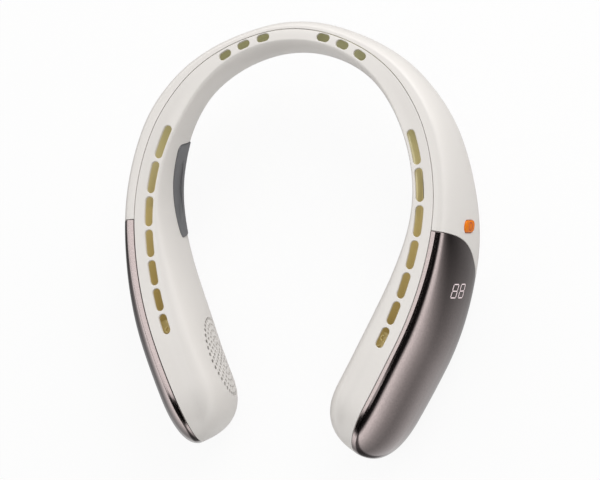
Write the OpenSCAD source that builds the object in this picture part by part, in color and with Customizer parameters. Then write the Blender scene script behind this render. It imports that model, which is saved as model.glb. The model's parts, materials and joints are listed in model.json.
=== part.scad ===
// Electric neck fan: a rigid band worn around the neck, with a blower in the end of each arm.
// Air leaves through slots along the top edge, and a cooling plate lies on each side of the neck.
// +Y points behind the neck and +Z up. The arms rest on the surface z = 0.
// A place on the band is a station, measured along the slot line from the middle of the back.

/* [Path of the slot line] */
// Distance from the origin back to the slot line behind the neck
back_depth = 104.1; // [95:0.1:110]
// Radius of the slot line behind the neck
back_radius = 68; // [64:0.5:74]
// Angle that the slot line turns through behind the neck, on each side
back_angle = 57; // [52:0.5:62]
// Radius of the slot line beside the neck
side_radius = 111; // [100:1:125]
// Angle that the slot line turns through beside the neck
side_angle = 41; // [36:0.5:46]
// Radius of the slot line along the front of an arm
arm_radius = 195; // [180:5:220]
// Angle that the slot line turns through along the front of an arm
arm_angle = 15.5; // [10:0.5:20]
// Radius of the slot line at the end of an arm
tip_radius = 610; // [500:10:700]
// Length of the slot line from the middle of the back to the end of an arm
arm_length = 258.5; // [254:0.5:264]

/* [Section of the band] */
// Height of the slot line over the surface that the arms rest on
slot_height = 51; // [50:0.5:54]
// Height of the band behind the neck
back_height = 24.2; // [23:0.1:27]
// Rise of the slot line behind the neck over the slot line in the arms
back_lift = 1; // [0:0.1:3]
// Reach of the band outside the slot line: behind the neck
back_outer = 8.8; // [8:0.1:11]
// Reach of the band outside the slot line: beside the neck
side_outer = 18; // [17.5:0.1:20]
// Reach of the band outside the slot line: at the blowers
front_outer = 23; // [22.5:0.1:25]
// Reach of the band inside the slot line: behind the neck
back_inner = 7.3; // [7:0.1:9]
// Reach of the band inside the slot line: beside the neck
side_inner = 5.2; // [5:0.1:7]
// Reach of the band inside the slot line: at the blowers
front_inner = 16.4; // [16:0.1:18]
// Length over which the end of an arm rounds off
tip_round = 29; // [24:1:34]
// Fall of the top edge towards the end of an arm
tip_drop = 4; // [2:0.5:5]
// Distance from the slot line to the inner edge of the slotted strip
strip_edge = 2.6; // [2.4:0.1:3]
// Distance from the slot line to the parting seam: behind the neck
back_seam = 2.8; // [2.6:0.1:3.2]
// Distance from the slot line to the parting seam: beside the neck
side_seam = 7.6; // [7:0.1:8.5]
// Distance from the slot line to the parting seam: at the blowers
front_seam = 8.2; // [7.5:0.1:9]
// Width of the rim between the seam and the outer crease: behind the neck
back_rim = 1.5; // [1.2:0.1:2]
// Width of the rim between the seam and the outer crease: beside the neck
side_rim = 4.4; // [3.5:0.1:5]
// Width of the rim between the seam and the outer crease: at the blowers
front_rim = 3; // [2.5:0.1:4]
// Rise of the seam over the slot line in the arms
seam_rise = 1.9; // [1:0.1:2.5]
// Fall of the seam under the slot line behind the neck
seam_sink = 1.1; // [0.5:0.1:1.5]
// Fall of the rim from the seam to the outer crease
rim_fall = 0.6; // [0.4:0.1:1]

/* [Shells and covers] */
// Wall of the inner and outer shells
shell_wall = 1.6; // [1.4:0.1:1.8]
// Wall of the glossy covers on the arms
cover_wall = 1.2; // [1:0.1:1.4]
// Station where a cover starts on the top edge
cover_start = 140.5; // [138:0.5:143]
// Sweep of a cover's edge towards the end of the arm, from top to bottom
cover_sweep = 27; // [22:1:30]
// Gap left along the parting seam
seam_gap = 0.2; // [0.1:0.05:0.3]
// Gap between a cover and its recess
cover_gap = 0.15; // [0.1:0.05:0.2]

/* [Air slots] */
// Number of slots along each arm
slot_count = 7; // [5:1:7]
// Station of the first arm slot's middle
first_slot = 98.2; // [96:0.2:100]
// Length of the first arm slot
slot_length = 18.6; // [17:0.1:19]
// Length that each arm slot loses to the one before
slot_step = 1.25; // [1:0.05:1.4]
// Bar between two arm slots
slot_bar = 1.8; // [1.5:0.1:2.5]
// Width of an arm slot
slot_width = 4.4; // [3.8:0.1:4.6]
// Number of slots on each side behind the neck
back_slot_count = 3; // [2:1:3]
// Station of the first slot behind the neck
back_slot_start = 17; // [16:0.5:18]
// Distance between the slots behind the neck
back_slot_pitch = 11.4; // [10:0.1:12]
// Length of a slot behind the neck
back_slot_length = 7.3; // [6.5:0.1:8]
// Width of a slot behind the neck
back_slot_width = 4.3; // [3.8:0.1:4.4]

/* [Air duct] */
// Reach of the duct inside the slot line
duct_inner = 3.2; // [2.8:0.1:3.3]
// Reach of the duct outside the slot line
duct_outer = 4.6; // [4.2:0.1:5]
// Depth of the duct's floor under the slot line, over the height of the slot line
duct_share = 0.255; // [0.235:0.005:0.275]
// Wall of the duct
duct_wall = 0.8; // [0.7:0.1:1]
// Diameter of the wire loom under the duct
loom_diameter = 2.6; // [2:0.1:3]

/* [Blower] */
// Distance of the blower's shaft from the end of the arm
fan_setback = 38.5; // [38:0.5:40]
// Height of the blower's shaft over the height of the slot line
fan_height_share = 0.47; // [0.468:0.002:0.478]
// Distance of the inlet ring's face from the slot line, towards the neck
fan_inset = 5; // [4:0.1:5.5]
// Depth of the blower housing
fan_depth = 14.5; // [14:0.1:15]
// Wall of the blower housing
fan_wall = 1.2; // [1:0.1:1.4]
// Radius of the impeller over the height of the slot line
impeller_share = 0.294; // [0.28:0.002:0.296]
// Length of the blades, from their inner radius to the rim
blade_length = 3.4; // [3:0.1:4]
// Thickness of a blade
blade_wall = 0.7; // [0.6:0.05:0.8]
// Number of blades
blade_count = 25; // [19:1:29]
// Clearance between the impeller and its housing
impeller_gap = 0.8; // [0.6:0.1:1]
// Growth of the scroll from the tongue to the outlet, over the impeller's radius
scroll_share = 0.28; // [0.2:0.01:0.3]
// Overlap of the air inlet's rim over the blades
inlet_lap = 3; // [2.5:0.1:4]
// Gap between the hub cup and the blades' inner radius
hub_gap = 2.2; // [1.8:0.1:2.6]
// Wall of the hub cup, and thickness of the magnet ring
hub_wall = 0.8; // [0.7:0.05:0.9]
// Air gap between the stator and the magnets
motor_gap = 0.4; // [0.3:0.05:0.5]
// Radius of the shaft
shaft_radius = 1; // [0.8:0.05:1.2]
// Radial play of the shaft in its bearing
shaft_play = 0.04; // [0.02:0.01:0.08]
// Outer radius of the sleeve bearing
bearing_radius = 2.5; // [2.3:0.1:2.7]
// Wall of the tube that holds the bearing
bearing_tube_wall = 1.1; // [1:0.1:1.3]

/* [Intake grille] */
// Distance of the grille's middle from the end of the arm
grille_setback = 38.5; // [38:0.5:40]
// Height of the grille's middle
grille_height = 20; // [19:0.5:22]
// Rings of holes around the middle hole
grille_rings = 6; // [4:1:6]
// Distance between two rings along the arm
grille_pitch = 3.7; // [3.4:0.1:3.8]
// Width of the rings' ovals over their length
grille_oval_share = 0.72; // [0.6:0.01:0.8]
// Diameter of a hole
grille_hole = 1.4; // [1.2:0.1:1.6]

/* [Cooling plate] */
// Station of the cooling plate's middle
plate_station = 120; // [118:0.5:122]
// Height of the cooling plate's middle over the height of the slot line
plate_share = 0.43; // [0.4:0.01:0.46]
// Length of the cooling plate
plate_length = 54; // [48:0.5:56]
// Width of the cooling plate
plate_width = 19; // [17:0.5:20]
// Slope of the cooling plate towards the arm's end, in degrees
plate_slope = 17; // [12:1:19]
// Corner radius of the cooling plate
plate_corner = 5; // [3:0.5:7]
// Thickness of the cooling plate
plate_wall = 1.4; // [1.3:0.1:1.5]
// Height of the cooling plate over the shell around it
plate_proud = 0.6; // [0.5:0.1:0.8]
// Length of the Peltier tile
tile_length = 29; // [26:0.5:30]
// Width of the Peltier tile
tile_width = 12; // [11:0.5:12.5]
// Thickness of the Peltier tile
tile_wall = 3.4; // [3:0.1:3.6]
// Height of the heat sink's fins
fin_height = 7; // [5:0.5:7.5]
// Number of fins
fin_count = 6; // [4:1:7]

/* [Battery and boards] */
// Distance of the battery's middle from the end of the arm
battery_setback = 84.5; // [83:0.5:86]
// Length of the battery
battery_length = 37; // [34:0.5:38]
// Height of the battery over the height of the slot line
battery_share = 0.53; // [0.49:0.01:0.55]
// Thickness of the battery
battery_wall = 8.5; // [7:0.5:9]
// Distance of the battery tray from the slot line, away from the neck
tray_offset = 8.4; // [8:0.1:9]
// Thickness of the battery tray
tray_wall = 1.2; // [1:0.1:1.4]
// Thickness of the circuit boards
board_wall = 1; // [0.8:0.1:1.2]

/* [Power button and display] */
// Station of the power button
button_station = 135; // [134:0.5:136]
// Height of the power button's middle
button_height = 28; // [27:0.5:29]
// Length of the power button across the band
button_length = 12; // [11:0.1:12.5]
// Width of the power button along the band
button_width = 6.4; // [6:0.1:7]
// Height of the power button over the shell
button_proud = 0.9; // [0.6:0.1:1.1]
// Travel of the power button
button_travel = 0.3; // [0.2:0.05:0.3]
// Station of the display's middle
display_station = 164.5; // [163:0.5:166]
// Height of the display's middle
display_height = 29.5; // [28:0.5:31]
// Height of a digit, along the band
digit_height = 8.4; // [7:0.1:9]
// Width of a digit
digit_width = 5.2; // [4.5:0.1:5.5]
// Distance between the middles of the two digits
digit_pitch = 7.4; // [7:0.1:8]
// Width of a digit's stroke
stroke = 0.6; // [0.5:0.05:0.8]

/* [Screws] */
// Radius of a shell screw's thread
screw_radius = 1; // [0.8:0.05:1.1]
// Radius of a shell screw's head
head_radius = 1.9; // [1.7:0.05:2]
// Thickness of a shell screw's head
head_wall = 1.2; // [1:0.1:1.3]
// Length of a shell screw under its head
screw_length = 8; // [6:0.5:9]

/* [Hidden] */
$fn = 48;

// One overrun serves all cuts
cut = 5;
// Gap between a seated inner piece and its seat
seat = 0.1;
// Gap between a curved wall and what lies along it
wall_gap = 0.3;
// Depth to which the underside is drawn past the resting surface, and cut flat
base_sink = 0.6;
// Overlap that joins a post or boss to its wall
root = 0.5;

// Where the section changes along the band, as shares of the arm's length
blend_shares = [0.077, 0.368, 0.426, 0.774];
lift_shares = [0.116, 0.329];
taper_shares = [0.224, 0.58];
// Heights of the widest level, as shares of the section's height
inner_waist_share = 0.39;
outer_waist_share = 0.38;
// Outward lean of the section's lower side, as shares of its depth
lean_shares = [0.05, 0.08, 0.09];
// Distance of the bottom seam outside the slot line, as shares of the outer reach
bottom_seam_shares = [0.14, 0.33, 0.3];
// Powers that shape the four quarters of the section, behind, beside and in front of the neck
upper_outer_powers = [1.13, 1, 1.15];
upper_inner_powers = [1, 0.6, 0.82];
lower_outer_power = 0.625;
lower_inner_power = 0.7;
// Middle that the arm's end rounds off towards, from the inner to the outer side
tip_middle_share = 0.7;
tip_power = 2.5;
// Angle at which the rounding of an arm's end stops
tip_turn = 89.5;

// Points of the section: a mark of 0 is the top seam, 1 the crease or strip edge, 3 the bottom seam
quarter = 6;
lap_share = 0.02;
cover_low_mark = 2.62;
cover_marks = concat([0], [for (i = [0 : quarter + 3]) 1 + i / quarter], [cover_low_mark]);
outer_marks = concat(cover_marks, [cover_low_mark + lap_share, 3 - 1 / quarter, 3]);
inner_marks = concat([0, 0.5], [for (i = [0 : 2 * quarter]) 1 + i / quarter]);
// Steps along the band: to the cover's edge, along the cover, and around the arm's end
back_steps = 18;
arm_steps = 8;
tip_steps = 7;
all_steps = back_steps + 1 + arm_steps + tip_steps;

lip_run = 0.2;
recess = cover_wall + cover_gap;
tip_start = arm_length - tip_round;
fan_station = arm_length - fan_setback;
fan_height = slot_height * fan_height_share;
impeller_radius = slot_height * impeller_share;
scroll_growth = impeller_radius * scroll_share;
blade_inner = impeller_radius - blade_length;
inlet_radius = impeller_radius - inlet_lap;
hub_radius = blade_inner - hub_gap;
grille_station = arm_length - grille_setback;
battery_station = arm_length - battery_setback;
battery_height = slot_height * battery_share;
duct_depth = slot_height * duct_share;
plate_height = slot_height * plate_share;

// The slot line
arc_radii = [back_radius, side_radius, arm_radius, tip_radius];
arc_angles = [back_angle, side_angle, arm_angle, 90];

function travel(s, i = 0, at = [0, back_depth], heading = 0) =
    let (r = arc_radii[i],
        most = r * arc_angles[i] * PI / 180,
        turn = min(s, most) / r * 180 / PI,
        next = at + r * [sin(heading + turn) - sin(heading), cos(heading + turn) - cos(heading)])
    s <= most || i == 3 ? [next.x, next.y, heading + turn] : travel(s - most, i + 1, next, heading + turn);

function ease(a, b, x) = let (t = min(max((x - a) / (b - a), 0), 1)) t * t * (3 - 2 * t);

function blend(s, v) =
    v[0] + (v[1] - v[0]) * ease(blend_shares[0] * arm_length, blend_shares[1] * arm_length, s)
    + (v[2] - v[1]) * ease(blend_shares[2] * arm_length, blend_shares[3] * arm_length, s);

// The section at a station
function top_z(s) = slot_height
    + back_lift * (1 - ease(lift_shares[0] * arm_length, lift_shares[1] * arm_length, s))
    - tip_drop * ease(blend_shares[3] * arm_length, arm_length, s);
function low_z(s) = -base_sink + (slot_height + back_lift - back_height + base_sink)
    * (1 - ease(taper_shares[0] * arm_length, taper_shares[1] * arm_length, s));
function lean(s) = blend(s, lean_shares);
function outer_reach(s) = blend(s, [back_outer, side_outer, front_outer]);
function inner_reach(s) = blend(s, [back_inner, side_inner, front_inner]);
function seam_n(s) = blend(s, [back_seam, side_seam, front_seam]);
function crease_n(s) = seam_n(s) + blend(s, [back_rim, side_rim, front_rim]);
function seam_z(s) = top_z(s) + blend(s, [-seam_sink, seam_rise, seam_rise]);
function bottom_n(s) = blend(s, [bottom_seam_shares[0] * back_outer, bottom_seam_shares[1] * side_outer,
    bottom_seam_shares[2] * front_outer]);
function outer_waist(s) = low_z(s) + outer_waist_share * (top_z(s) - low_z(s));
function inner_waist(s) = low_z(s) + inner_waist_share * (top_z(s) - low_z(s));
function leaned(s, q) = [q.x + (top_z(s) - q.y) * lean(s), q.y];

// A point of the outer half of the section: its distance from the slot line and its height
function outer_at(s, m, w) =
    let (wide = outer_reach(s) - w,
        crease = crease_n(s) - w / 2,
        rim = seam_z(s) - rim_fall - w,
        waist = outer_waist(s),
        low = low_z(s) + w,
        bottom = bottom_n(s) + seam_gap / 2,
        p = blend(s, upper_outer_powers))
    leaned(s, m <= 1
        ? [seam_n(s) + seam_gap / 2 + (crease - seam_n(s) - seam_gap / 2) * m, seam_z(s) - w - rim_fall * m]
        : m <= 2
        ? [crease + (wide - crease) * pow(sin(90 * (m - 1)), p),
            waist + (rim - waist) * pow(cos(90 * (m - 1)), p)]
        : [bottom + (wide - bottom) * pow(cos(90 * (m - 2)), lower_outer_power),
            max(waist - (waist - low) * pow(sin(90 * (m - 2)), lower_outer_power), w)]);

// A point of the inner half of the section
function inner_at(s, m, w) =
    let (wide = inner_reach(s) - w,
        edge = strip_edge - w / 2,
        top = top_z(s) - w,
        waist = inner_waist(s),
        low = low_z(s) + w,
        bottom = bottom_n(s) - seam_gap / 2,
        p = blend(s, upper_inner_powers))
    leaned(s, m <= 0.5
        ? [(seam_n(s) - seam_gap / 2) * (1 - 2 * m), top + (seam_z(s) - top_z(s)) * (1 - 2 * m)]
        : m <= 1
        ? [-edge * (2 * m - 1), top]
        : m <= 2
        ? [-edge - (wide - edge) * pow(sin(90 * (m - 1)), p),
            waist + (top - waist) * pow(cos(90 * (m - 1)), p)]
        : [bottom - (wide + bottom) * pow(cos(90 * (m - 2)), lower_inner_power),
            max(waist - (waist - low) * pow(sin(90 * (m - 2)), lower_inner_power), w)]);

function half_at(half, s, m, w) = half > 0 ? outer_at(s, m, w) : inner_at(s, m, w);

// How far the rounded end of an arm draws the section in, and the middle that it draws in to
function tip_scale(s, w) =
    pow(1 - pow(min(max(s - tip_start, 0) / (tip_round - w), 1), tip_power), 1 / tip_power);
function tip_middle(s) = leaned(s, [
    -inner_reach(s) + (inner_reach(s) + outer_reach(s)) * tip_middle_share,
    (top_z(s) + low_z(s)) / 2]);
// Distance of a wall from the slot line at a height
function outer_wall_n(s, z, w) = drawn_in(s, z, w, 1);
function inner_wall_n(s, z, w) = drawn_in(s, z, w, -1);
function drawn_in(s, z, w, half) =
    let (c = tip_scale(s, w), middle = tip_middle(s))
    middle.x + (wall_n(half, s, middle.y + (z - middle.y) / c, w) - middle.x) * c;
function wall_n(half, s, z, w) =
    let (waist = half > 0 ? outer_waist(s) : inner_waist(s),
        top = half > 0 ? seam_z(s) - rim_fall - w : top_z(s) - w,
        low = low_z(s) + w,
        upper = blend(s, half > 0 ? upper_outer_powers : upper_inner_powers),
        lower = half > 0 ? lower_outer_power : lower_inner_power)
    z >= waist
    ? half_at(half, s, 1 + acos(pow((z - waist) / (top - waist), 1 / upper)) / 90, w).x
    : half_at(half, s, 2 + asin(pow((waist - z) / (waist - low), 1 / lower)) / 90, w).x;
// Distance of a wall in the frame of one station, at a run along the band from it
function wall_y(s, run, z, w, half = 1) =
    let (p = travel(s), q = travel(s + run), n = drawn_in(s + run, z, w, half))
    [q.x - p.x + sin(q.z) * n, q.y - p.y + cos(q.z) * n] * [sin(p.z), cos(p.z)];
function outer_tilt(s, z) =
    atan((outer_wall_n(s, z - shell_wall, 0) - outer_wall_n(s, z + shell_wall, 0)) / (2 * shell_wall));

// Rings along the band. A step runs from the middle of the back to the end of an arm.
function cover_edge(half, m) =
    cover_start + cover_sweep
    * pow(max(slot_height - half_at(half, cover_start, m, 0).y, 0) / slot_height, 3);
function station(edge, k, w) =
    k <= back_steps ? [edge * k / back_steps, 1]
    : k <= back_steps + 1 + arm_steps
    ? [edge + lip_run + (tip_start - edge - lip_run) * (k - back_steps - 1) / arm_steps, 1]
    : let (u = sin(tip_turn * (k - back_steps - 1 - arm_steps) / tip_steps))
        [tip_start + (tip_round - w) * u, pow(1 - pow(u, tip_power), 1 / tip_power)];
function spot(side, s, q) =
    let (p = travel(s))
    [side * (p.x + sin(p.z) * q.x), p.y + cos(p.z) * q.x, q.y];
function ring_point(half, side, k, m, w, edge_shift) =
    let (at = station(cover_edge(half, m) + edge_shift, k, w),
        middle = tip_middle(at.x),
        q = half_at(half, at.x, m, w))
    spot(side, at.x, at.y == 1 ? q : middle + (q - middle) * at.y);

// A closed solid through rings that each run out along one chain of points and back along another
module loft(rings) {
    n = len(rings[0]);
    last = len(rings) - 1;
    // The diagonals of both chains lie alike, so that surfaces at two depths never cross
    sides = [for (k = [0 : last - 1]) for (i = [0 : n - 1])
        let (a = k * n + i, b = k * n + (i + 1) % n, c = a + n, d = b + n)
        each i < n / 2 ? [[a, b, d], [a, d, c]] : [[a, b, c], [b, d, c]]];
    start_cap = [for (i = [0 : n / 2 - 2]) each [[i, n - 1 - i, i + 1], [i + 1, n - 1 - i, n - 2 - i]]];
    end_cap = [for (f = start_cap) last * n * [1, 1, 1] + [f.x, f.z, f.y]];
    polyhedron(points = [for (r = rings) each r], faces = concat(sides, start_cap, end_cap), convexity = 10);
}

function reversed(v) = [for (i = [len(v) - 1 : -1 : 0]) v[i]];

// One half of the shell, from the left arm's end around the neck to the right arm's end
module half_shell(half, marks) {
    function sunk(k, m) = half > 0 && k > back_steps && m <= cover_low_mark ? recess : 0;
    function lining(k) = half > 0 && k >= back_steps ? recess + shell_wall : shell_wall;
    function skin(side, k) = [for (m = marks) ring_point(half, side, k, m, sunk(k, m), 0)];
    function chord(a, b) = [for (i = [0 : len(marks) - 1]) a + (b - a) * i / (len(marks) - 1)];
    function end_point(side, m) = ring_point(half, side, all_steps, m, sunk(all_steps, 0), 0);
    function hollow(side, k) = k == all_steps ? chord(end_point(side, 0), end_point(side, 3))
        : [for (m = marks) ring_point(half, side, k, m, lining(k), 0)];
    function ring(side, k) = concat(skin(side, k), reversed(hollow(side, k)));
    rings = concat([for (k = [all_steps : -1 : 1]) ring(-1, k)], [for (k = [0 : all_steps]) ring(1, k)]);
    loft(half > 0 ? rings : reversed(rings));
}

// A skin over the outer half of one arm, between two depths under the surface
module arm_skin(side, high, deep, first, last, shift) {
    rings = [for (k = [first : last])
        concat([for (m = cover_marks) ring_point(1, side, k, m, high, shift)],
            reversed([for (m = cover_marks) ring_point(1, side, k, m, deep, shift)]))];
    loft(side > 0 ? rings : reversed(rings));
}

// Frames: x along the band towards the arm's end, y away from the neck, z up
module at_station(s, side = 1) {
    p = travel(s);
    if (side < 0)
        mirror([1, 0, 0]) translate([p.x, p.y, 0]) rotate([0, 0, -p.z]) children();
    else
        translate([p.x, p.y, 0]) rotate([0, 0, -p.z]) children();
}
// An outline drawn in x and z, filled from y0 to y1
module slab(y0, y1) {
    translate([0, y1, 0]) rotate([90, 0, 0]) linear_extrude(y1 - y0) children();
}
module rod(y0, y1, r, x = 0, z = 0) {
    translate([x, y0, z]) rotate([-90, 0, 0]) cylinder(h = y1 - y0, r = r);
}
module rounded(length, width, corner) {
    square([length - 2 * corner, width], center = true);
    square([length, width - 2 * corner], center = true);
    for (i = [-1, 1], j = [-1, 1])
        translate([i * (length / 2 - corner), j * (width / 2 - corner)]) circle(corner);
}
module block(x, y0, y1, z0, z1) {
    translate([-x / 2, y0, z0]) cube([x, y1 - y0, z1 - z0]);
}

// Posts, bosses and cuts that the shells share with what they carry
// Each screw's station and height
screw_spots = [
    [cover_start + battery_height * 0.3, slot_height * 0.57],
    [fan_station - impeller_radius * 1.47, slot_height * 0.18],
    [arm_length - tip_round * 0.3, slot_height * 0.48]];
screw_boss = screw_radius * 2.6;
head_seat = recess + shell_wall + head_wall;
function screw_top(i) = outer_wall_n(screw_spots[i].x, screw_spots[i].y, 0);
head_boss = head_radius + fan_wall;
// Distances of a wall around a boss, and where a boss ends inside the outer and the inner wall
function around(i, r, w, half) = [for (c = [[1, 0], [-1, 0], [0, 1], [0, -1]])
    wall_y(screw_spots[i].x, c.x * r, screw_spots[i].y + c.y * r, w, half)];
function boss_top(i) = min(around(i, head_boss, recess, 1)) - root;
function boss_foot(i) = max(around(i, screw_boss, 0, -1)) + root;

module at_screw(i, side) {
    at_station(screw_spots[i].x, side) translate([0, 0, screw_spots[i].y]) children();
}

fan_ears = [[-1.06, -1.02], [1.1, -1.06], [1.12, 0.98]];
ear_radius = fan_wall * 2.2;
post_radius = fan_wall * 1.6;
fan_back = fan_depth - fan_inset;
tray_back = tray_offset + tray_wall;
tray_length = battery_length + 2 * (tray_wall + seat);
tray_height = battery_height + 2 * tray_wall;
tray_z = slot_height * 0.39;
board_length = battery_length * 0.76;
board_height = battery_height * 0.86;
board_offset = tray_back + board_wall * 2;

// Depth under the recess at which a post starts, inside the shell's wall
post_root = shell_wall * 0.7;

module shell_posts(side) {
    for (x = [-1, 1], z = [-1, 1]) {
        post_x = x * (tray_length / 2 - post_radius);
        post_z = tray_z + z * (tray_height / 2 - post_radius);
        at_station(battery_station, side)
            rod(tray_back + seat, wall_y(battery_station, post_x, post_z, recess) - post_root,
                post_radius, post_x, post_z);
    }
    for (e = fan_ears * impeller_radius)
        at_fan(side)
            rod(fan_back + seat, wall_y(fan_station, e.x, fan_height + e.y, recess) - post_root,
                post_radius, e.x, e.y);
    for (i = [0 : 2])
        at_screw(i, side)
            rod(screw_top(i) - head_seat - head_wall, boss_top(i), head_boss);
}
module screw_cuts(side) {
    for (i = [0 : 2])
        at_screw(i, side) {
            rod(screw_top(i) - head_seat, screw_top(i) + cut, head_radius + seat);
            rod(screw_top(i) - cut * 3, screw_top(i), screw_radius + seat);
        }
}
module inner_bosses(side) {
    for (i = [0 : 2])
        at_screw(i, side)
            rod(boss_foot(i), screw_top(i) - head_seat - head_wall - seat, screw_boss);
}

module stadium(length, width) {
    square([length - width, width], center = true);
    for (x = [-1, 1])
        translate([x * (length - width) / 2, 0]) circle(width / 2);
}
module slot_cut(s, side, length, width) {
    at_station(s, side)
        translate([0, 0, top_z(s) - shell_wall * 2]) linear_extrude(shell_wall * 4) stadium(length, width);
}
function slot_size(i) = slot_length - slot_step * i;
function slot_station(i) = i == 0 ? first_slot
    : slot_station(i - 1) + (slot_size(i - 1) + slot_size(i)) / 2 + slot_bar;
module slot_cuts(side) {
    for (i = [0 : slot_count - 1])
        slot_cut(slot_station(i), side, slot_size(i), slot_width);
    for (i = [0 : back_slot_count - 1])
        slot_cut(back_slot_start + i * back_slot_pitch, side, back_slot_length, back_slot_width);
}
module grille_cuts(side) {
    wall = inner_wall_n(grille_station, grille_height, 0);
    at_station(grille_station, side) translate([0, 0, grille_height])
        slab(wall - shell_wall, wall + cut * 2) {
            circle(grille_hole / 2);
            for (k = [1 : grille_rings]) for (i = [0 : 6 * k - 1])
                translate(k * grille_pitch * [cos(60 * i / k), grille_oval_share * sin(60 * i / k)])
                    circle(grille_hole / 2 * (k == grille_rings ? 1.2 : 1));
        }
}
plate_wall_n = inner_wall_n(plate_station, plate_height, 0);
module at_plate(side) {
    at_station(plate_station, side)
        translate([0, plate_wall_n, plate_height]) rotate([0, plate_slope, 0]) children();
}
tile_y = shell_wall + wall_gap;
module plate_window(side) {
    at_plate(side) slab(-cut, cut) rounded(tile_length + 4 * wall_gap, tile_width + 4 * wall_gap, wall_gap * 3);
    intersection() {
        wall_skin(side, -cut, plate_wall - plate_proud + seat);
        at_plate(side) slab(-cut * 2, cut)
            rounded(plate_length + 4 * seat, plate_width + 4 * seat, plate_corner + 2 * seat);
    }
}
// A skin over the inner wall around the cooling plate, between two depths under the surface
module wall_skin(side, high, deep) {
    first = plate_station - plate_length * 0.62;
    steps = 8;
    marks = [for (i = [0 : 7]) 1.2 + i / 5];
    function ring(k) = let (s = first + plate_length * 1.24 * k / steps)
        concat([for (m = marks) spot(side, s, inner_at(s, m, deep))],
            reversed([for (m = marks) spot(side, s, inner_at(s, m, high))]));
    rings = [for (k = [0 : steps]) ring(k)];
    loft(side > 0 ? rings : reversed(rings));
}

module inner_shell() {
    color("#e9e5dd") difference() {
        union() {
            half_shell(-1, inner_marks);
            union() for (side = [-1, 1]) inner_bosses(side);
        }
        for (side = [-1, 1]) {
            slot_cuts(side);
            grille_cuts(side);
            plate_window(side);
            for (i = [0 : 2])
                at_screw(i, side)
                    rod(screw_top(i) - head_seat - screw_length * 1.5, screw_top(i), screw_radius + seat / 4);
        }
    }
}

// The power button's frame: y runs out through the shell
module at_button() {
    at_station(button_station)
        translate([0, outer_wall_n(button_station, button_height, 0), button_height])
        rotate([outer_tilt(button_station, button_height), 0, 0]) children();
}
button_corner = button_width * 0.36;
button_gap = 0.2;
flange_wall = shell_wall * 0.6;
flange_lap = shell_wall * 0.8;
flange_y = -shell_wall * 1.85;
stem_y = flange_y - flange_wall * 1.2;
switch_wall = shell_wall * 1.2;
switch_y = stem_y - button_travel - seat / 2;
button_board_y = switch_y - switch_wall;
button_post = post_radius * 0.7;
button_post_z = button_length / 2 + flange_lap + button_post + wall_gap;
button_board_length = 2 * (button_post_z + button_post + seat);
button_board_width = button_width * 1.5;

// The display's frame: y runs out through the cover, x towards the bottom of the digits
module at_display() {
    at_station(display_station)
        translate([0, outer_wall_n(display_station, display_height, 0), display_height])
        rotate([outer_tilt(display_station, display_height), 0, 0]) children();
}
guide_length = digit_pitch + digit_width + 4 * stroke;
guide_width = digit_height + 4 * stroke;
display_board_y = -recess - shell_wall * 2;

module outer_shell() {
    color("#e9e5dd") difference() {
        union() {
            half_shell(1, outer_marks);
            union() {
                for (side = [-1, 1]) shell_posts(side);
                at_button()
                    for (z = [-1, 1])
                        rod(button_board_y + seat / 2, -shell_wall, button_post, 0, z * button_post_z);
                at_display()
                    for (z = [-1, 1])
                        rod(display_board_y + seat / 2, -recess - root * 1.5, button_post,
                            0, z * (guide_length / 2 + button_post + seat));
            }
        }
        for (side = [-1, 1]) screw_cuts(side);
        at_button() slab(-cut * 0.9, cut)
            rounded(button_width + 2 * button_gap, button_length + 2 * button_gap, button_corner + button_gap);
        at_display() slab(-cut * 1.2, cut) square([guide_width + seat, guide_length + seat], center = true);
        usb_place() usb_outline(seat);
    }
}

module seven_segments(wider) {
    w = (digit_width - stroke) / 2;
    h = (digit_height - stroke) / 2;
    t = stroke / 2 + wider;
    gap = stroke * 0.35;
    for (d = [-1, 1]) translate([0, d * digit_pitch / 2]) {
        for (x = [-h, 0, h]) translate([x, 0]) bar(w - gap, t);
        for (x = [-h / 2, h / 2], z = [-w, w])
            translate([x, z]) rotate(90) bar(h / 2 - gap, t);
    }
}
// A stroke with pointed ends, along the second axis
module bar(half_length, t) {
    polygon([[0, -half_length - t * 0.4], [t, -half_length + t * 0.6], [t, half_length - t * 0.6],
        [0, half_length + t * 0.4], [-t, half_length - t * 0.6], [-t, -half_length + t * 0.6]]);
}
module cover(side) {
    arm_skin(side, 0, cover_wall, back_steps + 1, all_steps, cover_gap);
}
module left_cover() { color("#4a4142") cover(-1); }
module right_cover() {
    color("#4a4142") difference() {
        cover(1);
        at_display() slab(-cut * 0.5, cut * 0.5) seven_segments(seat / 4);
    }
}

module duct(side) {
    first = (back_slot_start - back_slot_length) * 0.9;
    last = fan_station - outlet_reach - wall_gap * 2;
    steps = 18;
    color("#8e8a56") difference() {
        union() {
            loft_duct(side, first, last, steps, duct_depth);
            duct_hood(side, last);
        }
        at_station(plate_station, side)
            block(tile_length * 0.9, -duct_inner + duct_wall * 2, duct_outer - duct_wall * 2,
                slot_height - duct_depth - cut, slot_height - duct_depth + duct_wall * 2);
    }
}
function duct_rim(s) = top_z(s) - shell_wall - 2 * wall_gap - max(rim_fall + top_z(s) - seam_z(s), 0);
function duct_in(s, z) = max(-duct_inner, inner_wall_n(s, z, shell_wall) + wall_gap);
function duct_out(s, z) = min(duct_outer, outer_wall_n(s, z, shell_wall) - wall_gap);
module loft_duct(side, first, last, steps, depth) {
    function ring(s) =
        let (t = duct_wall, rim = duct_rim(s), base = top_z(s) - depth,
            a = duct_in(s, rim), b = duct_in(s, base), c = duct_out(s, base), d = duct_out(s, rim))
        [for (q = [[a, rim], [b, base], [c, base], [d, rim],
            [d - t, rim], [c - t, base + t], [b + t, base + t], [a + t, rim]]) spot(side, s, q)];
    rings = [for (k = [0 : steps]) ring(first + (last - first) * k / steps)];
    loft(side > 0 ? reversed(rings) : rings);
}

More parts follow.
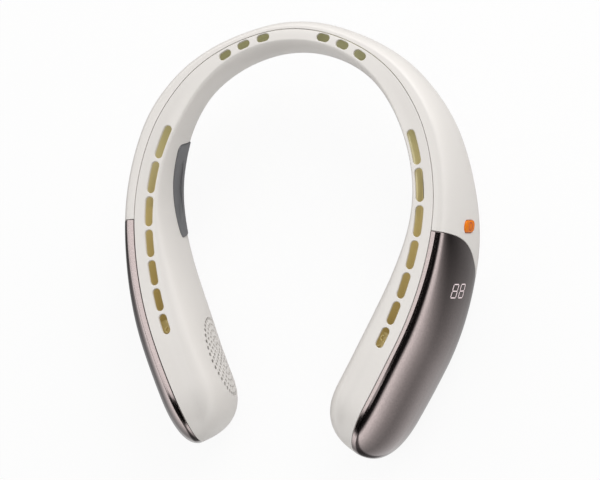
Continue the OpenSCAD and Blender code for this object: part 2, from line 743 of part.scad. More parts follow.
// A shallow tray that closes the last slot over the blower, with curled vanes that spread the air
module duct_hood(side, mouth) {
    depth = top_z(mouth) - fan_height - scroll_min - scroll_growth - fan_wall - wall_gap;
    last_slot = slot_station(slot_count - 1);
    last = last_slot + slot_size(slot_count - 1) / 2 + duct_wall * 2;
    loft_duct(side, mouth - duct_wall * 2, last, 2, depth);
    vane = slot_width * 0.36;
    vane_wall = duct_wall * 0.7;
    vane_height = depth - shell_wall - 3 * wall_gap;
    for (i = [0, 1, 2])
        at_station(last_slot, side)
            translate([mouth - last_slot + (last - mouth) * (i + 0.5) / 3, vane * (i % 2 - 0.5) * 0.5,
                top_z(mouth) - depth + duct_wall / 2])
                linear_extrude(vane_height - duct_wall / 2) difference() {
                    circle(vane);
                    circle(vane - vane_wall);
                    translate([-vane * 2, i % 2 == 0 ? 0 : -vane * 4]) square(vane * 4);
                }
}

// The plate lies in the shell's recess, and its pedestal reaches through the shell to the tile
module cooling_plate(side) {
    color("#55565b") union() {
        intersection() {
            wall_skin(side, -plate_proud, plate_wall - plate_proud);
            at_plate(side) slab(-cut * 2, cut) rounded(plate_length, plate_width, plate_corner);
        }
        intersection() {
            wall_skin(side, -plate_proud / 2, cut);
            at_plate(side) slab(-cut, tile_y) rounded(tile_length, tile_width, wall_gap);
        }
    }
}
module peltier(side) {
    color("#e8e8e4") at_plate(side) translate([0, tile_y, 0]) {
        ceramic = tile_wall * 0.2;
        for (y = [0, tile_wall - ceramic])
            block(tile_length, y, y + ceramic, -tile_width / 2, tile_width / 2);
        pellet = tile_width / 9;
        for (i = [-5 : 5], j = [-2 : 2])
            translate([i * tile_length / 11.5, 0, j * tile_width / 5.2])
                block(pellet, ceramic, tile_wall - ceramic, -pellet / 2, pellet / 2);
    }
}
module heat_sink(side) {
    length = tile_length * 1.15;
    width = tile_width * 1.2;
    base = tile_wall / 2;
    color("#b9bcc0") at_plate(side) translate([0, tile_y + tile_wall, 0]) {
        block(length, 0, base, -width / 2, width / 2);
        fin = width / fin_count / 3;
        for (i = [0 : fin_count - 1])
            let (z = -width / 2 + (width - fin) * i / (fin_count - 1))
            block(length, base - root, base + fin_height, z, z + fin);
    }
}

// The blower's scroll, drawn around the shaft with the outlet towards the back of the neck
scroll_min = impeller_radius + impeller_gap * 1.5;
tongue_turn = 125;
scroll_turns = 325;
outlet_reach = impeller_radius * 1.5;
module scroll(wider) {
    steps = 26;
    spiral = [for (i = [0 : steps])
        let (a = tongue_turn + scroll_turns * i / steps, r = scroll_min + scroll_growth * i / steps + wider)
        r * [cos(a), sin(a)]];
    high = spiral[steps].y;
    low = scroll_min * sin(tongue_turn) - wider;
    outlet = -outlet_reach - (wider > 0 ? 0 : cut);
    polygon(concat(spiral, [[outlet, high], [outlet, low]]));
}
module at_fan(side) {
    at_station(fan_station, side) translate([0, 0, fan_height]) children();
}
lid_y = -fan_inset;
bay_y = lid_y + fan_wall;
floor_y = fan_back - fan_wall;
impeller_y = bay_y + impeller_gap;
impeller_back = floor_y - impeller_gap;
cup_y = impeller_y + impeller_gap * 2;
magnet_radius = hub_radius - hub_wall;
stator_radius = magnet_radius - hub_wall - motor_gap;
tube_radius = bearing_radius + bearing_tube_wall;
tube_y = cup_y + hub_wall + impeller_gap * 2;

module blower_housing(side) {
    color("#c9c7c0") at_fan(side) difference() {
        union() {
            slab(bay_y, fan_back) scroll(fan_wall);
            for (e = fan_ears * impeller_radius) {
                rod(floor_y, fan_back, ear_radius, e.x, e.y);
                slab(floor_y, fan_back) polygon([[0, 0], [e.x, e.y * 0.8], e, [e.x * 0.8, e.y]]);
            }
        }
        difference() {
            slab(bay_y - cut, floor_y) scroll(0);
            rod(tube_y, fan_back, tube_radius);
        }
        rod(tube_y - cut, floor_y, bearing_radius + seat / 5);
    }
}
module inlet_ring(side) {
    color("#c9c7c0") at_fan(side) difference() {
        union() {
            slab(lid_y, bay_y) scroll(fan_wall);
            rod(lid_y - fan_wall / 2, lid_y + root, inlet_radius + fan_wall);
        }
        rod(lid_y - cut, bay_y + cut, inlet_radius);
    }
}
module impeller(side) {
    blade_steps = 4;
    sweep = 46;
    chord = impeller_radius - blade_inner;
    // A forward-curved blade: its middle line turns towards the rim
    function blade_line(t) =
        let (r = blade_inner + chord * t, a = -chord / blade_inner * sweep * t * t) r * [cos(a), sin(a)];
    blade = concat([for (i = [0 : blade_steps]) blade_line(i / blade_steps) + [0, blade_wall / 2]],
        [for (i = [blade_steps : -1 : 0]) blade_line(i / blade_steps) - [0, blade_wall / 2]]);
    color("#d9d6cd") at_fan(side) {
        difference() {
            union() {
                rod(cup_y, impeller_back, hub_radius);
                rod(impeller_back - hub_wall, impeller_back, impeller_radius);
            }
            rod(cup_y + hub_wall, impeller_back + cut, magnet_radius);
            rod(cup_y - cut, impeller_back, shaft_radius + seat / 10);
        }
        difference() {
            rod(cup_y, cup_y + hub_wall * 2.5, shaft_radius * 2);
            rod(cup_y - cut, cup_y + cut, shaft_radius + seat / 10);
        }
        slab(impeller_y + hub_wall / 2, impeller_back - hub_wall / 2)
            for (i = [0 : blade_count - 1]) rotate(360 * i / blade_count) polygon(blade);
        difference() {
            rod(impeller_y, impeller_y + hub_wall, impeller_radius);
            rod(impeller_y - cut, impeller_y + cut, impeller_radius - hub_wall * 1.5);
        }
    }
}
module magnet_ring(side) {
    color("#3a3a3c") at_fan(side) difference() {
        rod(cup_y + hub_wall * 2, impeller_back - hub_wall, magnet_radius - seat / 10);
        rod(cup_y - cut, impeller_back + cut, magnet_radius - hub_wall);
    }
}
module motor_shaft(side) {
    color("#c4c7ca") at_fan(side) rod(cup_y + seat, floor_y - wall_gap, shaft_radius);
}
module bearing(side) {
    color("#b08d57") at_fan(side) difference() {
        rod(tube_y + seat, floor_y - seat, bearing_radius);
        rod(tube_y - cut, floor_y + cut, shaft_radius + shaft_play);
    }
}
stator_y = tube_y + impeller_gap;
stator_back = floor_y - board_wall - impeller_gap * 1.6;
module stator(side) {
    poles = 6;
    pole = stator_radius * 0.2;
    color("#a9642f") at_fan(side) {
        difference() {
            rod(stator_y, stator_back, tube_radius + bearing_tube_wall);
            rod(stator_y - cut, stator_back + cut, tube_radius + seat / 5);
        }
        slab(stator_y, stator_back)
            for (i = [0 : poles - 1]) rotate(360 * i / poles)
                translate([tube_radius + bearing_tube_wall / 2, -pole / 2])
                    square([stator_radius - tube_radius - bearing_tube_wall, pole]);
        slab(stator_y - impeller_gap / 2, stator_back + impeller_gap / 2)
            for (i = [0 : poles - 1]) rotate(360 * i / poles)
                translate([tube_radius + bearing_tube_wall * 1.1, -pole * 0.9])
                    square([(stator_radius - tube_radius - bearing_tube_wall * 1.1) * 0.6, pole * 1.8]);
        slab(stator_y, stator_back) for (i = [0 : poles - 1]) rotate(360 * i / poles)
            intersection() {
                difference() {
                    circle(stator_radius);
                    circle(stator_radius - pole / 2);
                }
                translate([0, -stator_radius * 0.35]) square([stator_radius, stator_radius * 0.7]);
            }
    }
}
module motor_board(side) {
    color("#2f5a3a") at_fan(side) difference() {
        rod(floor_y - seat - board_wall, floor_y - seat, magnet_radius - hub_wall);
        rod(floor_y - cut, floor_y + cut, tube_radius + seat / 5);
    }
}

module at_battery(side) {
    at_station(battery_station, side) translate([0, 0, tray_z]) children();
}
module battery(side) {
    color("#9fb4c8") at_battery(side) {
        slab(tray_offset - seat - battery_wall, tray_offset - seat)
            rounded(battery_length, battery_height, battery_wall / 6);
        for (z = [-1, 1])
            translate([-battery_length / 2, tray_offset - battery_wall / 2, z * battery_height / 4])
                block(tray_wall * 2, 0, seat * 3, -tray_wall, tray_wall);
    }
}
module battery_tray(side) {
    color("#dcd9d2") at_battery(side) {
        slab(tray_offset, tray_back) rounded(tray_length, tray_height, post_radius);
        for (x = [-1, 1])
            translate([x * (battery_length / 2 + seat + tray_wall / 2), 0, 0])
                block(tray_wall, tray_offset - battery_wall / 3, tray_back, -battery_height / 2, battery_height / 2);
        for (x = [-1, 1], z = [-1, 1])
            rod(tray_back - root, board_offset - seat, post_radius / 2,
                x * board_length * 0.4, z * board_height * 0.38);
    }
}
module logic_board(side) {
    color("#23573a") at_battery(side) {
        slab(board_offset, board_offset + board_wall) rounded(board_length, board_height, board_wall);
        for (c = [[-0.25, 0.2, 0.28], [0.22, 0.22, 0.2], [0.05, -0.2, 0.24], [-0.3, -0.24, 0.14]])
            translate([c.x * board_length, 0, c.y * board_height])
                block(c.z * board_length, board_offset + board_wall / 2, board_offset + board_wall * 2,
                    -c.z * board_height / 2, c.z * board_height / 2);
    }
}

module display_board() {
    color("#23573a") at_display()
        slab(display_board_y - board_wall, display_board_y)
            square([guide_width, guide_length + 4 * (button_post + seat)], center = true);
}
module display_digits() {
    color("#f4dcd8") at_display() {
        intersection() {
            slab(display_board_y, 0) square([guide_width, guide_length], center = true);
            at_world() arm_skin(1, recess, recess + cut, back_steps + 1, back_steps + arm_steps, 0);
        }
        intersection() {
            slab(-recess - shell_wall, cut) seven_segments(0);
            at_world() arm_skin(1, -seat / 5, recess + root, back_steps + 1, back_steps + arm_steps, 0);
        }
    }
}
// Undoes the display's frame, for what is placed by station
module at_world() {
    p = travel(display_station);
    rotate([-outer_tilt(display_station, display_height), 0, 0])
        translate([0, -outer_wall_n(display_station, display_height, 0), -display_height])
        rotate([0, 0, p.z]) translate([-p.x, -p.y, 0]) children();
}

module power_button() {
    color("#e98a12") at_button() {
        slab(flange_y - flange_wall, button_proud * 0.6) rounded(button_width, button_length, button_corner);
        slab(button_proud * 0.5, button_proud)
            rounded(button_width - button_proud, button_length - button_proud, button_corner - button_proud / 2);
        slab(flange_y - flange_wall, flange_y)
            rounded(button_width + 2 * flange_lap, button_length + 2 * flange_lap, button_corner + flange_lap);
        rod(stem_y, flange_y, button_width * 0.2);
    }
}
module button_board() {
    color("#23573a") at_button() slab(button_board_y - board_wall, button_board_y)
        rounded(button_board_width, button_board_length, board_wall);
}
module button_switch() {
    color("#2b2b2d") at_button() {
        plunger = switch_wall * 0.3;
        slab(button_board_y, switch_y - plunger) square([button_width * 0.8, button_width * 0.8], center = true);
        rod(switch_y - plunger - root, switch_y, button_width * 0.18);
    }
}

// A charging socket in the underside of the right arm, beside the main board
usb_width = 9;
usb_height = 3.2;
usb_wall = 0.4;
usb_depth = 6.6;
usb_offset = board_offset + board_wall + usb_height / 2;
module usb_place() {
    at_station(battery_station) translate([0, usb_offset, 0]) children();
}
module usb_outline(wider) {
    translate([0, 0, -cut]) linear_extrude(cut + usb_depth + board_wall)
        stadium(usb_width + 2 * wider, usb_height + 2 * wider);
}
module usb_port() {
    floor_z = outer_low(usb_offset) + seat;
    color("#b9bcc0") usb_place() difference() {
        translate([0, 0, floor_z]) linear_extrude(usb_depth) stadium(usb_width, usb_height);
        translate([0, 0, floor_z - cut]) linear_extrude(cut + usb_depth * 0.8)
            stadium(usb_width - 2 * usb_wall, usb_height - 2 * usb_wall);
    }
}
// Height of the underside at a distance outside the slot line
function outer_low(n) = let (s = battery_station, m = 2.8) max(outer_at(s, m, 0).y, 0);

module wire_loom() {
    reach = cover_start * 1.02;
    steps = 34;
    sides = 8;
    r = loom_diameter / 2;
    function ring(side, s) =
        let (z = top_z(s) - duct_depth - wall_gap - r, n = (duct_outer - duct_inner) / 2)
        [for (i = [0 : sides - 1]) spot(side, s, [n + r * sin(360 * i / sides), z + r * cos(360 * i / sides)])];
    rings = [for (k = [-steps / 2 : steps / 2]) ring(k < 0 ? -1 : 1, abs(k) * reach / (steps / 2))];
    color("#2d2d30") loft(rings);
}

module shell_screws() {
    color("#8d9094") for (side = [-1, 1], i = [0 : 2])
        at_screw(i, side) {
            y = screw_top(i) - head_seat;
            difference() {
                rod(y, y + head_wall, head_radius);
                slab(y + head_wall / 2, y + head_wall + cut) square(head_radius * [0.5, 1.2], center = true);
                slab(y + head_wall / 2, y + head_wall + cut) square(head_radius * [1.2, 0.5], center = true);
            }
            rod(y - screw_length, y + root, screw_radius);
        }
}

inner_shell();
outer_shell();
left_cover();
right_cover();
duct(-1);  // left_duct
duct(1);  // right_duct
cooling_plate(-1);  // left_cooling_plate
cooling_plate(1);  // right_cooling_plate
peltier(-1);  // left_peltier
peltier(1);  // right_peltier
heat_sink(-1);  // left_heat_sink
heat_sink(1);  // right_heat_sink
blower_housing(-1);  // left_blower_housing
blower_housing(1);  // right_blower_housing
inlet_ring(-1);  // left_inlet_ring
inlet_ring(1);  // right_inlet_ring
impeller(-1);  // left_impeller
impeller(1);  // right_impeller
magnet_ring(-1);  // left_magnet_ring
magnet_ring(1);  // right_magnet_ring
motor_shaft(-1);  // left_motor_shaft
motor_shaft(1);  // right_motor_shaft
bearing(-1);  // left_bearing
bearing(1);  // right_bearing
stator(-1);  // left_stator
stator(1);  // right_stator
motor_board(-1);  // left_motor_board
motor_board(1);  // right_motor_board
battery(-1);  // left_battery
battery(1);  // right_battery
battery_tray(-1);  // left_battery_tray
battery_tray(1);  // right_battery_tray
logic_board(1);  // main_board
logic_board(-1);  // cooling_board
display_board();
display_digits();
power_button();
button_board();
button_switch();
usb_port();
wire_loom();
shell_screws();
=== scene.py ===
"""Electric neck fan: its looks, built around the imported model.

Lengths are in millimetres, and turn into metres only where a mesh, a material, a lamp or the
camera is made. A place on the band is a station, measured along the slot line from the middle
of the back. A mark goes across a half of its section, from 0 to 3.
"""

import json
import math

import bpy
import numpy as np
from mathutils import Matrix, Vector
from mathutils.bvhtree import BVHTree
from mathutils.interpolate import poly_3d_calc


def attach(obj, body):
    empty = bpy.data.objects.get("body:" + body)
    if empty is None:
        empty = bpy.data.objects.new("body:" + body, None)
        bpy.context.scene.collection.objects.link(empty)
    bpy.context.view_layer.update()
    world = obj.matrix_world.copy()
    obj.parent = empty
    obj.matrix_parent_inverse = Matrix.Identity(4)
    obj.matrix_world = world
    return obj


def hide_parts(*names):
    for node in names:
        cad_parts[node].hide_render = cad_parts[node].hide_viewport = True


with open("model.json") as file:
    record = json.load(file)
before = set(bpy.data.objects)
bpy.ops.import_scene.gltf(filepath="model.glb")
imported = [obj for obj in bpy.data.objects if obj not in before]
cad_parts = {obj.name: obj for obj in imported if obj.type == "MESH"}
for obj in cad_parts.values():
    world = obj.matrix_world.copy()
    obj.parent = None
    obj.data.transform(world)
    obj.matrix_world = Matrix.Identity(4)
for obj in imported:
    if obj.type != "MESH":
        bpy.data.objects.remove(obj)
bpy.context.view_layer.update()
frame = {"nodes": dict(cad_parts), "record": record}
bpy.ops.object.select_all(action="DESELECT")

MM = 0.001
RIGHT, LEFT = 1, -1

# Path of the slot line: arcs from the middle of the back to the arm's end
back_depth = 104.1
arc_radii = (68, 111, 195, 610)
arc_angles = (57, 41, 15.5, 90)
arm_length = 258.5

# Section of the band, with threes of values behind, beside and in front of the neck
slot_height = 51
back_height = 24.2
back_lift = 1
outer_reaches = (8.8, 18, 23)
inner_reaches = (7.3, 5.2, 16.4)
seam_places = (2.8, 7.6, 8.2)
rim_widths = (1.5, 4.4, 3)
tip_round = 29
tip_drop = 4
strip_edge = 2.6
strip_soft = 2
seam_rise = 1.9
seam_sink = 1.1
base_sink = 0.6
blend_shares = (0.077, 0.368, 0.426, 0.774)
lift_shares = (0.116, 0.329)
taper_shares = (0.224, 0.58)
inner_waist_share = 0.39
outer_waist_share = 0.38
lean_shares = (0.05, 0.08, 0.09)
bottom_seam_shares = (0.14, 0.33, 0.3)
upper_outer_powers = (1.13, 1, 1.15)
upper_inner_powers = (1, 0.6, 0.82)
lower_outer_power = 0.625
lower_inner_power = 0.7
tip_middle_share = 0.7
# Flat part of the rim beside the seam, the tilts of both parts, and the turn at which the outer wall starts
rim_flat_shares = (0.15, 0.56, 0.6)
rim_slopes = (math.tan(math.radians(3)), math.tan(math.radians(12.5)))
crease_turn = math.radians(6)
tip_power = 2.5
tip_start = arm_length - tip_round

# Shells and covers
shell_wall = 1.6
cover_wall = 1.2
cover_gap = 0.15
recess = cover_wall + cover_gap
cover_start = 140.5
cover_sweep = 27
cover_low_mark = 2.62
seam_gap = 0.28
edge_round = 0.3
# Marks that the rounding of a cover's low edge takes, and millimetres to a mark there
low_edge_marks = 0.02
low_edge_scale = 20
lap = 0.02
# Height of a cutter over the surface that it cuts
cutter_lift = 1.5

# Slots, grille and plates
slot_count = 7
first_slot = 98.2
slot_length = 18.6
slot_step = 1.25
slot_bar = 1.8
slot_width = 4.4
slot_round = 0.45
back_slot_count = 3
back_slot_start = 17
back_slot_pitch = 11.4
back_slot_length = 7.3
back_slot_width = 4.3
grille_station = arm_length - 38.5
grille_height = 20
grille_rings = 6
grille_pitch = 3.7
grille_oval_share = 0.72
grille_hole = 2
grille_wall = 0.7
grille_edge_share = 1.2
# Lift over the wall and widening of a hole, down its countersunk edge
hole_profile = ((cutter_lift, 0.12), (0.02, 0.12), (-0.04, 0.05), (-0.12, 0), (-3.2, 0))
# Rings of a hole that are nearer to the wall than this follow it
hole_follow = 1
hole_sides = 14
pocket_margin_share = 0.4
pocket_shares = (0.2, 0.6, 1)
pocket_sides = 64
plate_station = 120
plate_height = 21.93
plate_length = 54
plate_width = 19
plate_slope = math.radians(17)
plate_corner = 3.4
plate_wall = 1.4
plate_proud = 0.6
plate_gap = 0.2
plate_edge = 0.8
plate_least_corner = 0.2
plate_corner_points = 8
# How far a plate's face is drawn in, and half the width that its innermost loop leaves
plate_face_shares = (0.1, 0.3, 0.5, 0.7, 0.85, 1)
plate_ridge = 0.3
# Spacing of the outline's first points, and how many it has in the end
plate_point_step = 3
plate_points = 96
recess_floor_gap = 0.1
recess_floor_shares = (0.1, 0.5, 0.95)
recess_edge = 0.35
# Share of the recess's edge and lift over the wall, down that edge
recess_profile = ((1, cutter_lift), (1, 0.02), (0.5, -0.05), (0.15, -0.15), (0, -recess_edge))

# Button and display
button_station = 135
button_height = 28
button_length = 12
button_width = 6.4
button_proud = 0.9
button_gap = 0.2
button_edge = 0.7
button_crown = 0.22
button_depth = 3.6
button_corner = button_width * 0.44
button_least_corner = 0.3
button_crown_shares = (0.15, 0.3, 0.45, 0.6, 0.75, 0.88)
# Lift over the wall and widening of the button's window, down its rounded edge
window_profile = ((3, 0.3), (0.3, 0.3), (0, 0.25), (-0.25, 0.05), (-0.6, 0), (-4.5, 0))
mark_radius = 2
mark_width = 0.5
mark_lift = 0.015
mark_sink = 0.15
mark_sides = 48
display_station = 164.5
display_height = 29.5
digit_height = 6.8
digit_width = 5.2
digit_pitch = 7.4
digit_slant = math.radians(5)
stroke = 0.48
segment_gap = stroke * 0.35
# Lifts over the cover of a segment's foot, rim and face
digit_lifts = (-0.3, 0.02, 0.04)
# How far the button and the digits slant along the band for each millimetre up the wall
wall_shear = 0.14


def ease(low, high, x):
    t = np.clip((x - low) / (high - low), 0, 1)
    return t * t * (3 - 2 * t)


def blend(s, values):
    """A value behind, beside and in front of the neck, and its smooth change between."""
    to_side = ease(blend_shares[0] * arm_length, blend_shares[1] * arm_length, s)
    to_front = ease(blend_shares[2] * arm_length, blend_shares[3] * arm_length, s)
    return values[0] + (values[1] - values[0]) * to_side + (values[2] - values[1]) * to_front


def travel(s):
    """Place and heading of the slot line on the right arm."""
    x, y, heading, left = 0 * s, back_depth + 0 * s, 0 * s, 1 * s
    for radius, angle in zip(arc_radii, arc_angles):
        turn = np.clip(left / radius, 0, math.radians(angle))
        x = x + radius * (np.sin(heading + turn) - np.sin(heading))
        y = y + radius * (np.cos(heading + turn) - np.cos(heading))
        heading = heading + turn
        left = left - radius * turn
    return x, y, heading


def top_z(s):
    """Height of the slot line."""
    rise = back_lift * (1 - ease(lift_shares[0] * arm_length, lift_shares[1] * arm_length, s))
    return slot_height + rise - tip_drop * ease(blend_shares[3] * arm_length, arm_length, s)


def low_z(s):
    """Height of the underside."""
    lifted = slot_height + back_lift - back_height + base_sink
    return -base_sink + lifted * (1 - ease(taper_shares[0] * arm_length, taper_shares[1] * arm_length, s))


def seam_n(s):
    return blend(s, seam_places)


def seam_z(s):
    return top_z(s) + blend(s, (-seam_sink, seam_rise, seam_rise))


def bottom_n(s):
    return blend(s, [a * b for a, b in zip(bottom_seam_shares, outer_reaches)])


def waist_z(s, share):
    return low_z(s) + share * (top_z(s) - low_z(s))


def leaned(s, n, z):
    """A place across the band, moved outwards with its depth under the slot line."""
    return n + (top_z(s) - z) * blend(s, lean_shares)


def power(base, exponent):
    return np.clip(base, 0, 1) ** exponent


def strip_rise(s, n):
    """Height of the slotted strip over the slot line, where it rises towards the seam."""
    bend = (n + strip_soft) ** 2 / (4 * strip_soft)
    bent = np.where(n > strip_soft, n, np.where(n < -strip_soft, 0, bend))
    return bent / seam_n(s) * (seam_z(s) - top_z(s))


def rim_drop(s, m):
    """Fall of the rim from the seam: nearly flat at first, then a bevel down to the outer wall."""
    share = blend(s, rim_flat_shares)
    flat, bevel = np.minimum(m, share), np.maximum(m - share, 0)
    return blend(s, rim_widths) * (rim_slopes[0] * flat + rim_slopes[1] * bevel)


def outer_half(s, m, w):
    """The outer half of the section: mark 0 at the top seam, 1 at the crease, 3 at the bottom seam."""
    start = seam_n(s) + seam_gap / 2
    crease = seam_n(s) + blend(s, rim_widths) - w / 2
    wide = blend(s, outer_reaches) - w
    rim = seam_z(s) - rim_drop(s, 1) - w
    waist = waist_z(s, outer_waist_share)
    low = low_z(s) + w
    bottom = bottom_n(s) + seam_gap / 2
    p = blend(s, upper_outer_powers)
    a, b = crease_turn + (m - 1) * (math.pi / 2 - crease_turn), (m - 2) * math.pi / 2
    first_n, first_z = math.sin(crease_turn) ** p, math.cos(crease_turn) ** p
    n = np.where(m <= 1, start + (crease - start) * m, np.where(
        m <= 2, crease + (wide - crease) * (power(np.sin(a), p) - first_n) / (1 - first_n),
        bottom + (wide - bottom) * power(np.cos(b), lower_outer_power)))
    z = np.where(m <= 1, seam_z(s) - w - rim_drop(s, m), np.where(
        m <= 2, waist + (rim - waist) * power(np.cos(a), p) / first_z,
        np.maximum(waist - (waist - low) * power(np.sin(b), lower_outer_power), w)))
    return leaned(s, n, z), z


def inner_half(s, m, w):
    """The inner half of the section: mark 0 at the top seam, 1 at the strip's edge, 3 at the bottom seam."""
    start = seam_n(s) - seam_gap / 2
    edge = strip_edge - w / 2
    wide = blend(s, inner_reaches) - w
    top = top_z(s) - w
    waist = waist_z(s, inner_waist_share)
    low = low_z(s) + w
    bottom = bottom_n(s) - seam_gap / 2
    p = blend(s, upper_inner_powers)
    a, b = (m - 1) * math.pi / 2, (m - 2) * math.pi / 2
    strip = start - (start + edge) * m
    n = np.where(m <= 1, strip, np.where(
        m <= 2, -edge - (wide - edge) * power(np.sin(a), p),
        bottom - (wide + bottom) * power(np.cos(b), lower_inner_power)))
    z = np.where(m <= 1, top + strip_rise(s, strip), np.where(
        m <= 2, waist + (top - waist) * power(np.cos(a), p),
        np.maximum(waist - (waist - low) * power(np.sin(b), lower_inner_power), w)))
    return leaned(s, n, z), z


def tip_scale(s, w):
    """Size of the section where the arm's end closes."""
    return (1 - power((s - tip_start) / (tip_round - w), tip_power)) ** (1 / tip_power)


def tip_middle(s):
    """Place in the section that the arm's end closes towards."""
    inner, outer = blend(s, inner_reaches), blend(s, outer_reaches)
    z = (top_z(s) + low_z(s)) / 2
    return leaned(s, -inner + (inner + outer) * tip_middle_share, z), z


def place(side, s, n, z):
    """Points of the band, in metres."""
    x, y, heading = travel(s)
    return np.stack([side * (x + np.sin(heading) * n), y + np.cos(heading) * n, z + 0 * n], axis=-1) * MM


def skin_points(half, side, s, m, w, tip_depth):
    """Points of a half at stations and marks, at a depth w under its surface."""
    n, z = (outer_half if half > 0 else inner_half)(s, m, w)
    c = tip_scale(s, tip_depth)
    middle_n, middle_z = tip_middle(s)
    return place(side, s, middle_n + (n - middle_n) * c, middle_z + (z - middle_z) * c)


def wall_n(half, s, z):
    """Distance of the inner or outer wall from the slot line at a height."""
    share = outer_waist_share if half > 0 else inner_waist_share
    waist, low = waist_z(s, share), low_z(s)
    top = seam_z(s) - rim_drop(s, 1) if half > 0 else top_z(s)
    upper = blend(s, upper_outer_powers if half > 0 else upper_inner_powers)
    lower = lower_outer_power if half > 0 else lower_inner_power
    first = crease_turn if half > 0 else 0
    turn = np.arccos(power((z - waist) / (top - waist) * math.cos(first) ** upper, 1 / upper))
    sunk = np.arcsin(power((waist - z) / (waist - low), 1 / lower))
    m = np.where(z >= waist, 1 + (turn - first) / (math.pi / 2 - first), 2 + sunk / (math.pi / 2))
    return (outer_half if half > 0 else inner_half)(s, m, 0)[0]


def closing_n(half, s, z):
    """Distance of the wall from the slot line, also where the arm's end closes."""
    c = tip_scale(s, 0)
    middle_n, middle_z = tip_middle(s)
    return middle_n + (wall_n(half, s, middle_z + (z - middle_z) / c) - middle_n) * c


def rounding(distance, radius):
    """Depth of a rounded edge under the surface, at a distance from the edge."""
    d = np.clip(radius - distance, 0, radius)
    return radius - np.sqrt(radius ** 2 - d ** 2)


# Meshes

merge_distance = 0.0001
normal_weight = 80
# A corner of a cut skin, moved a little inwards, lies on the old skin where it is this near and turned alike
corner_inset = 0.05
skin_near = 0.02
skin_alike = 0.97


def new_object(name, verts, faces):
    mesh = bpy.data.meshes.new(name)
    mesh.from_pydata([tuple(v) for v in verts], [], [tuple(f) for f in faces])
    mesh.validate()
    piece = bpy.data.objects.new(name, mesh)
    bpy.context.scene.collection.objects.link(piece)
    return piece


def make_active(piece):
    bpy.ops.object.select_all(action="DESELECT")
    piece.select_set(True)
    bpy.context.view_layer.objects.active = piece


def outward(piece):
    """Merges points that meet, and turns all faces outwards."""
    make_active(piece)
    bpy.ops.object.mode_set(mode="EDIT")
    bpy.ops.mesh.select_all(action="SELECT")
    bpy.ops.mesh.remove_doubles(threshold=merge_distance * MM)
    bpy.ops.mesh.normals_make_consistent(inside=False)
    bpy.ops.object.mode_set(mode="OBJECT")


def apply(piece, kind, **settings):
    modifier = piece.modifiers.new(kind.title(), kind)
    for key, value in settings.items():
        setattr(modifier, key, value)
    make_active(piece)
    bpy.ops.object.modifier_apply(modifier=modifier.name)


def smooth(piece, degrees=35, weigh=True):
    make_active(piece)
    bpy.ops.object.shade_smooth_by_angle(angle=math.radians(degrees))
    if weigh:
        apply(piece, "WEIGHTED_NORMAL", keep_sharp=True, weight=normal_weight)


def ring_faces(count, n, closed=False):
    """Faces between neighbouring rings of n points, and from the last ring to the first where closed."""
    faces = []
    for k in range(count if closed else count - 1):
        near, far = k * n, (k + 1) % count * n
        for i in range(n):
            j = (i + 1) % n
            faces.append((near + i, near + j, far + j, far + i))
    return faces


def loft(name, rings):
    """A closed solid through rings, each a closed loop that runs out on one chain and back on another."""
    count, n = rings.shape[:2]
    faces = ring_faces(count, n)
    for base in (0, (count - 1) * n):
        for i in range(n // 2 - 1):
            faces.append((base + i, base + i + 1, base + n - 2 - i, base + n - 1 - i))
    piece = new_object(name, rings.reshape(-1, 3), faces)
    outward(piece)
    return piece


def prism(loops):
    """Points and faces of a closed solid through loops, capped with fans around their middles."""
    loops = np.array(loops)
    count, n = loops.shape[:2]
    verts = list(loops.reshape(-1, 3)) + [loops[0].mean(axis=0), loops[-1].mean(axis=0)]
    faces = ring_faces(count, n)
    for i in range(n):
        j = (i + 1) % n
        faces.append((i, j, count * n))
        faces.append(((count - 1) * n + i, (count - 1) * n + j, count * n + 1))
    return verts, faces


def gather(name, solids):
    """One object of several separate solids."""
    verts, faces = [], []
    for solid_verts, solid_faces in solids:
        base = len(verts)
        verts.extend(solid_verts)
        faces.extend([tuple(base + i for i in f) for f in solid_faces])
    piece = new_object(name, verts, faces)
    outward(piece)
    return piece


def cut(piece, *cutters):
    for cutter in cutters:
        apply(piece, "BOOLEAN", operation="DIFFERENCE", object=cutter, solver="MANIFOLD")
        bpy.data.objects.remove(cutter)


def cut_smoothly(piece, *cutters):
    """Cuts a smooth skin, and shades what is left of it as smoothly as before the cut."""
    skin = piece.data.copy()
    cut(piece, *cutters)
    smooth(piece, 30, weigh=False)
    places = [v.co.copy() for v in skin.vertices]
    faces = [list(p.vertices) for p in skin.polygons]
    tree = BVHTree.FromPolygons(places, faces)
    skin_normals = [n.vector.copy() for n in skin.corner_normals]
    mesh = piece.data
    normals = [n.vector.copy() for n in mesh.corner_normals]
    for face in mesh.polygons:
        centre = face.center
        for loop in face.loop_indices:
            corner = mesh.vertices[mesh.loops[loop].vertex_index].co
            spot, normal, index, distance = tree.find_nearest(corner.lerp(centre, corner_inset))
            if distance > skin_near * MM or normal.dot(face.normal) < skin_alike:
                continue
            hit = skin.polygons[index]
            weights = poly_3d_calc([places[i] for i in hit.vertices], spot)
            parts = [skin_normals[k] * w for k, w in zip(hit.loop_indices, weights)]
            normals[loop] = sum(parts, Vector()).normalized()
    mesh.normals_split_custom_set(normals)
    bpy.data.meshes.remove(skin)


def even(start, end, step):
    """Evenly spaced stations, about a step apart."""
    return np.linspace(start, end, max(2, round((end - start) / step) + 1))


def eased(count):
    """Shares from 0 to 1, closer at both ends."""
    return (1 - np.cos(np.linspace(0, math.pi, count + 1))) / 2


def around(count):
    """Turns of evenly spaced points around a circle."""
    return np.linspace(0, 2 * math.pi, count + 1)[:-1]


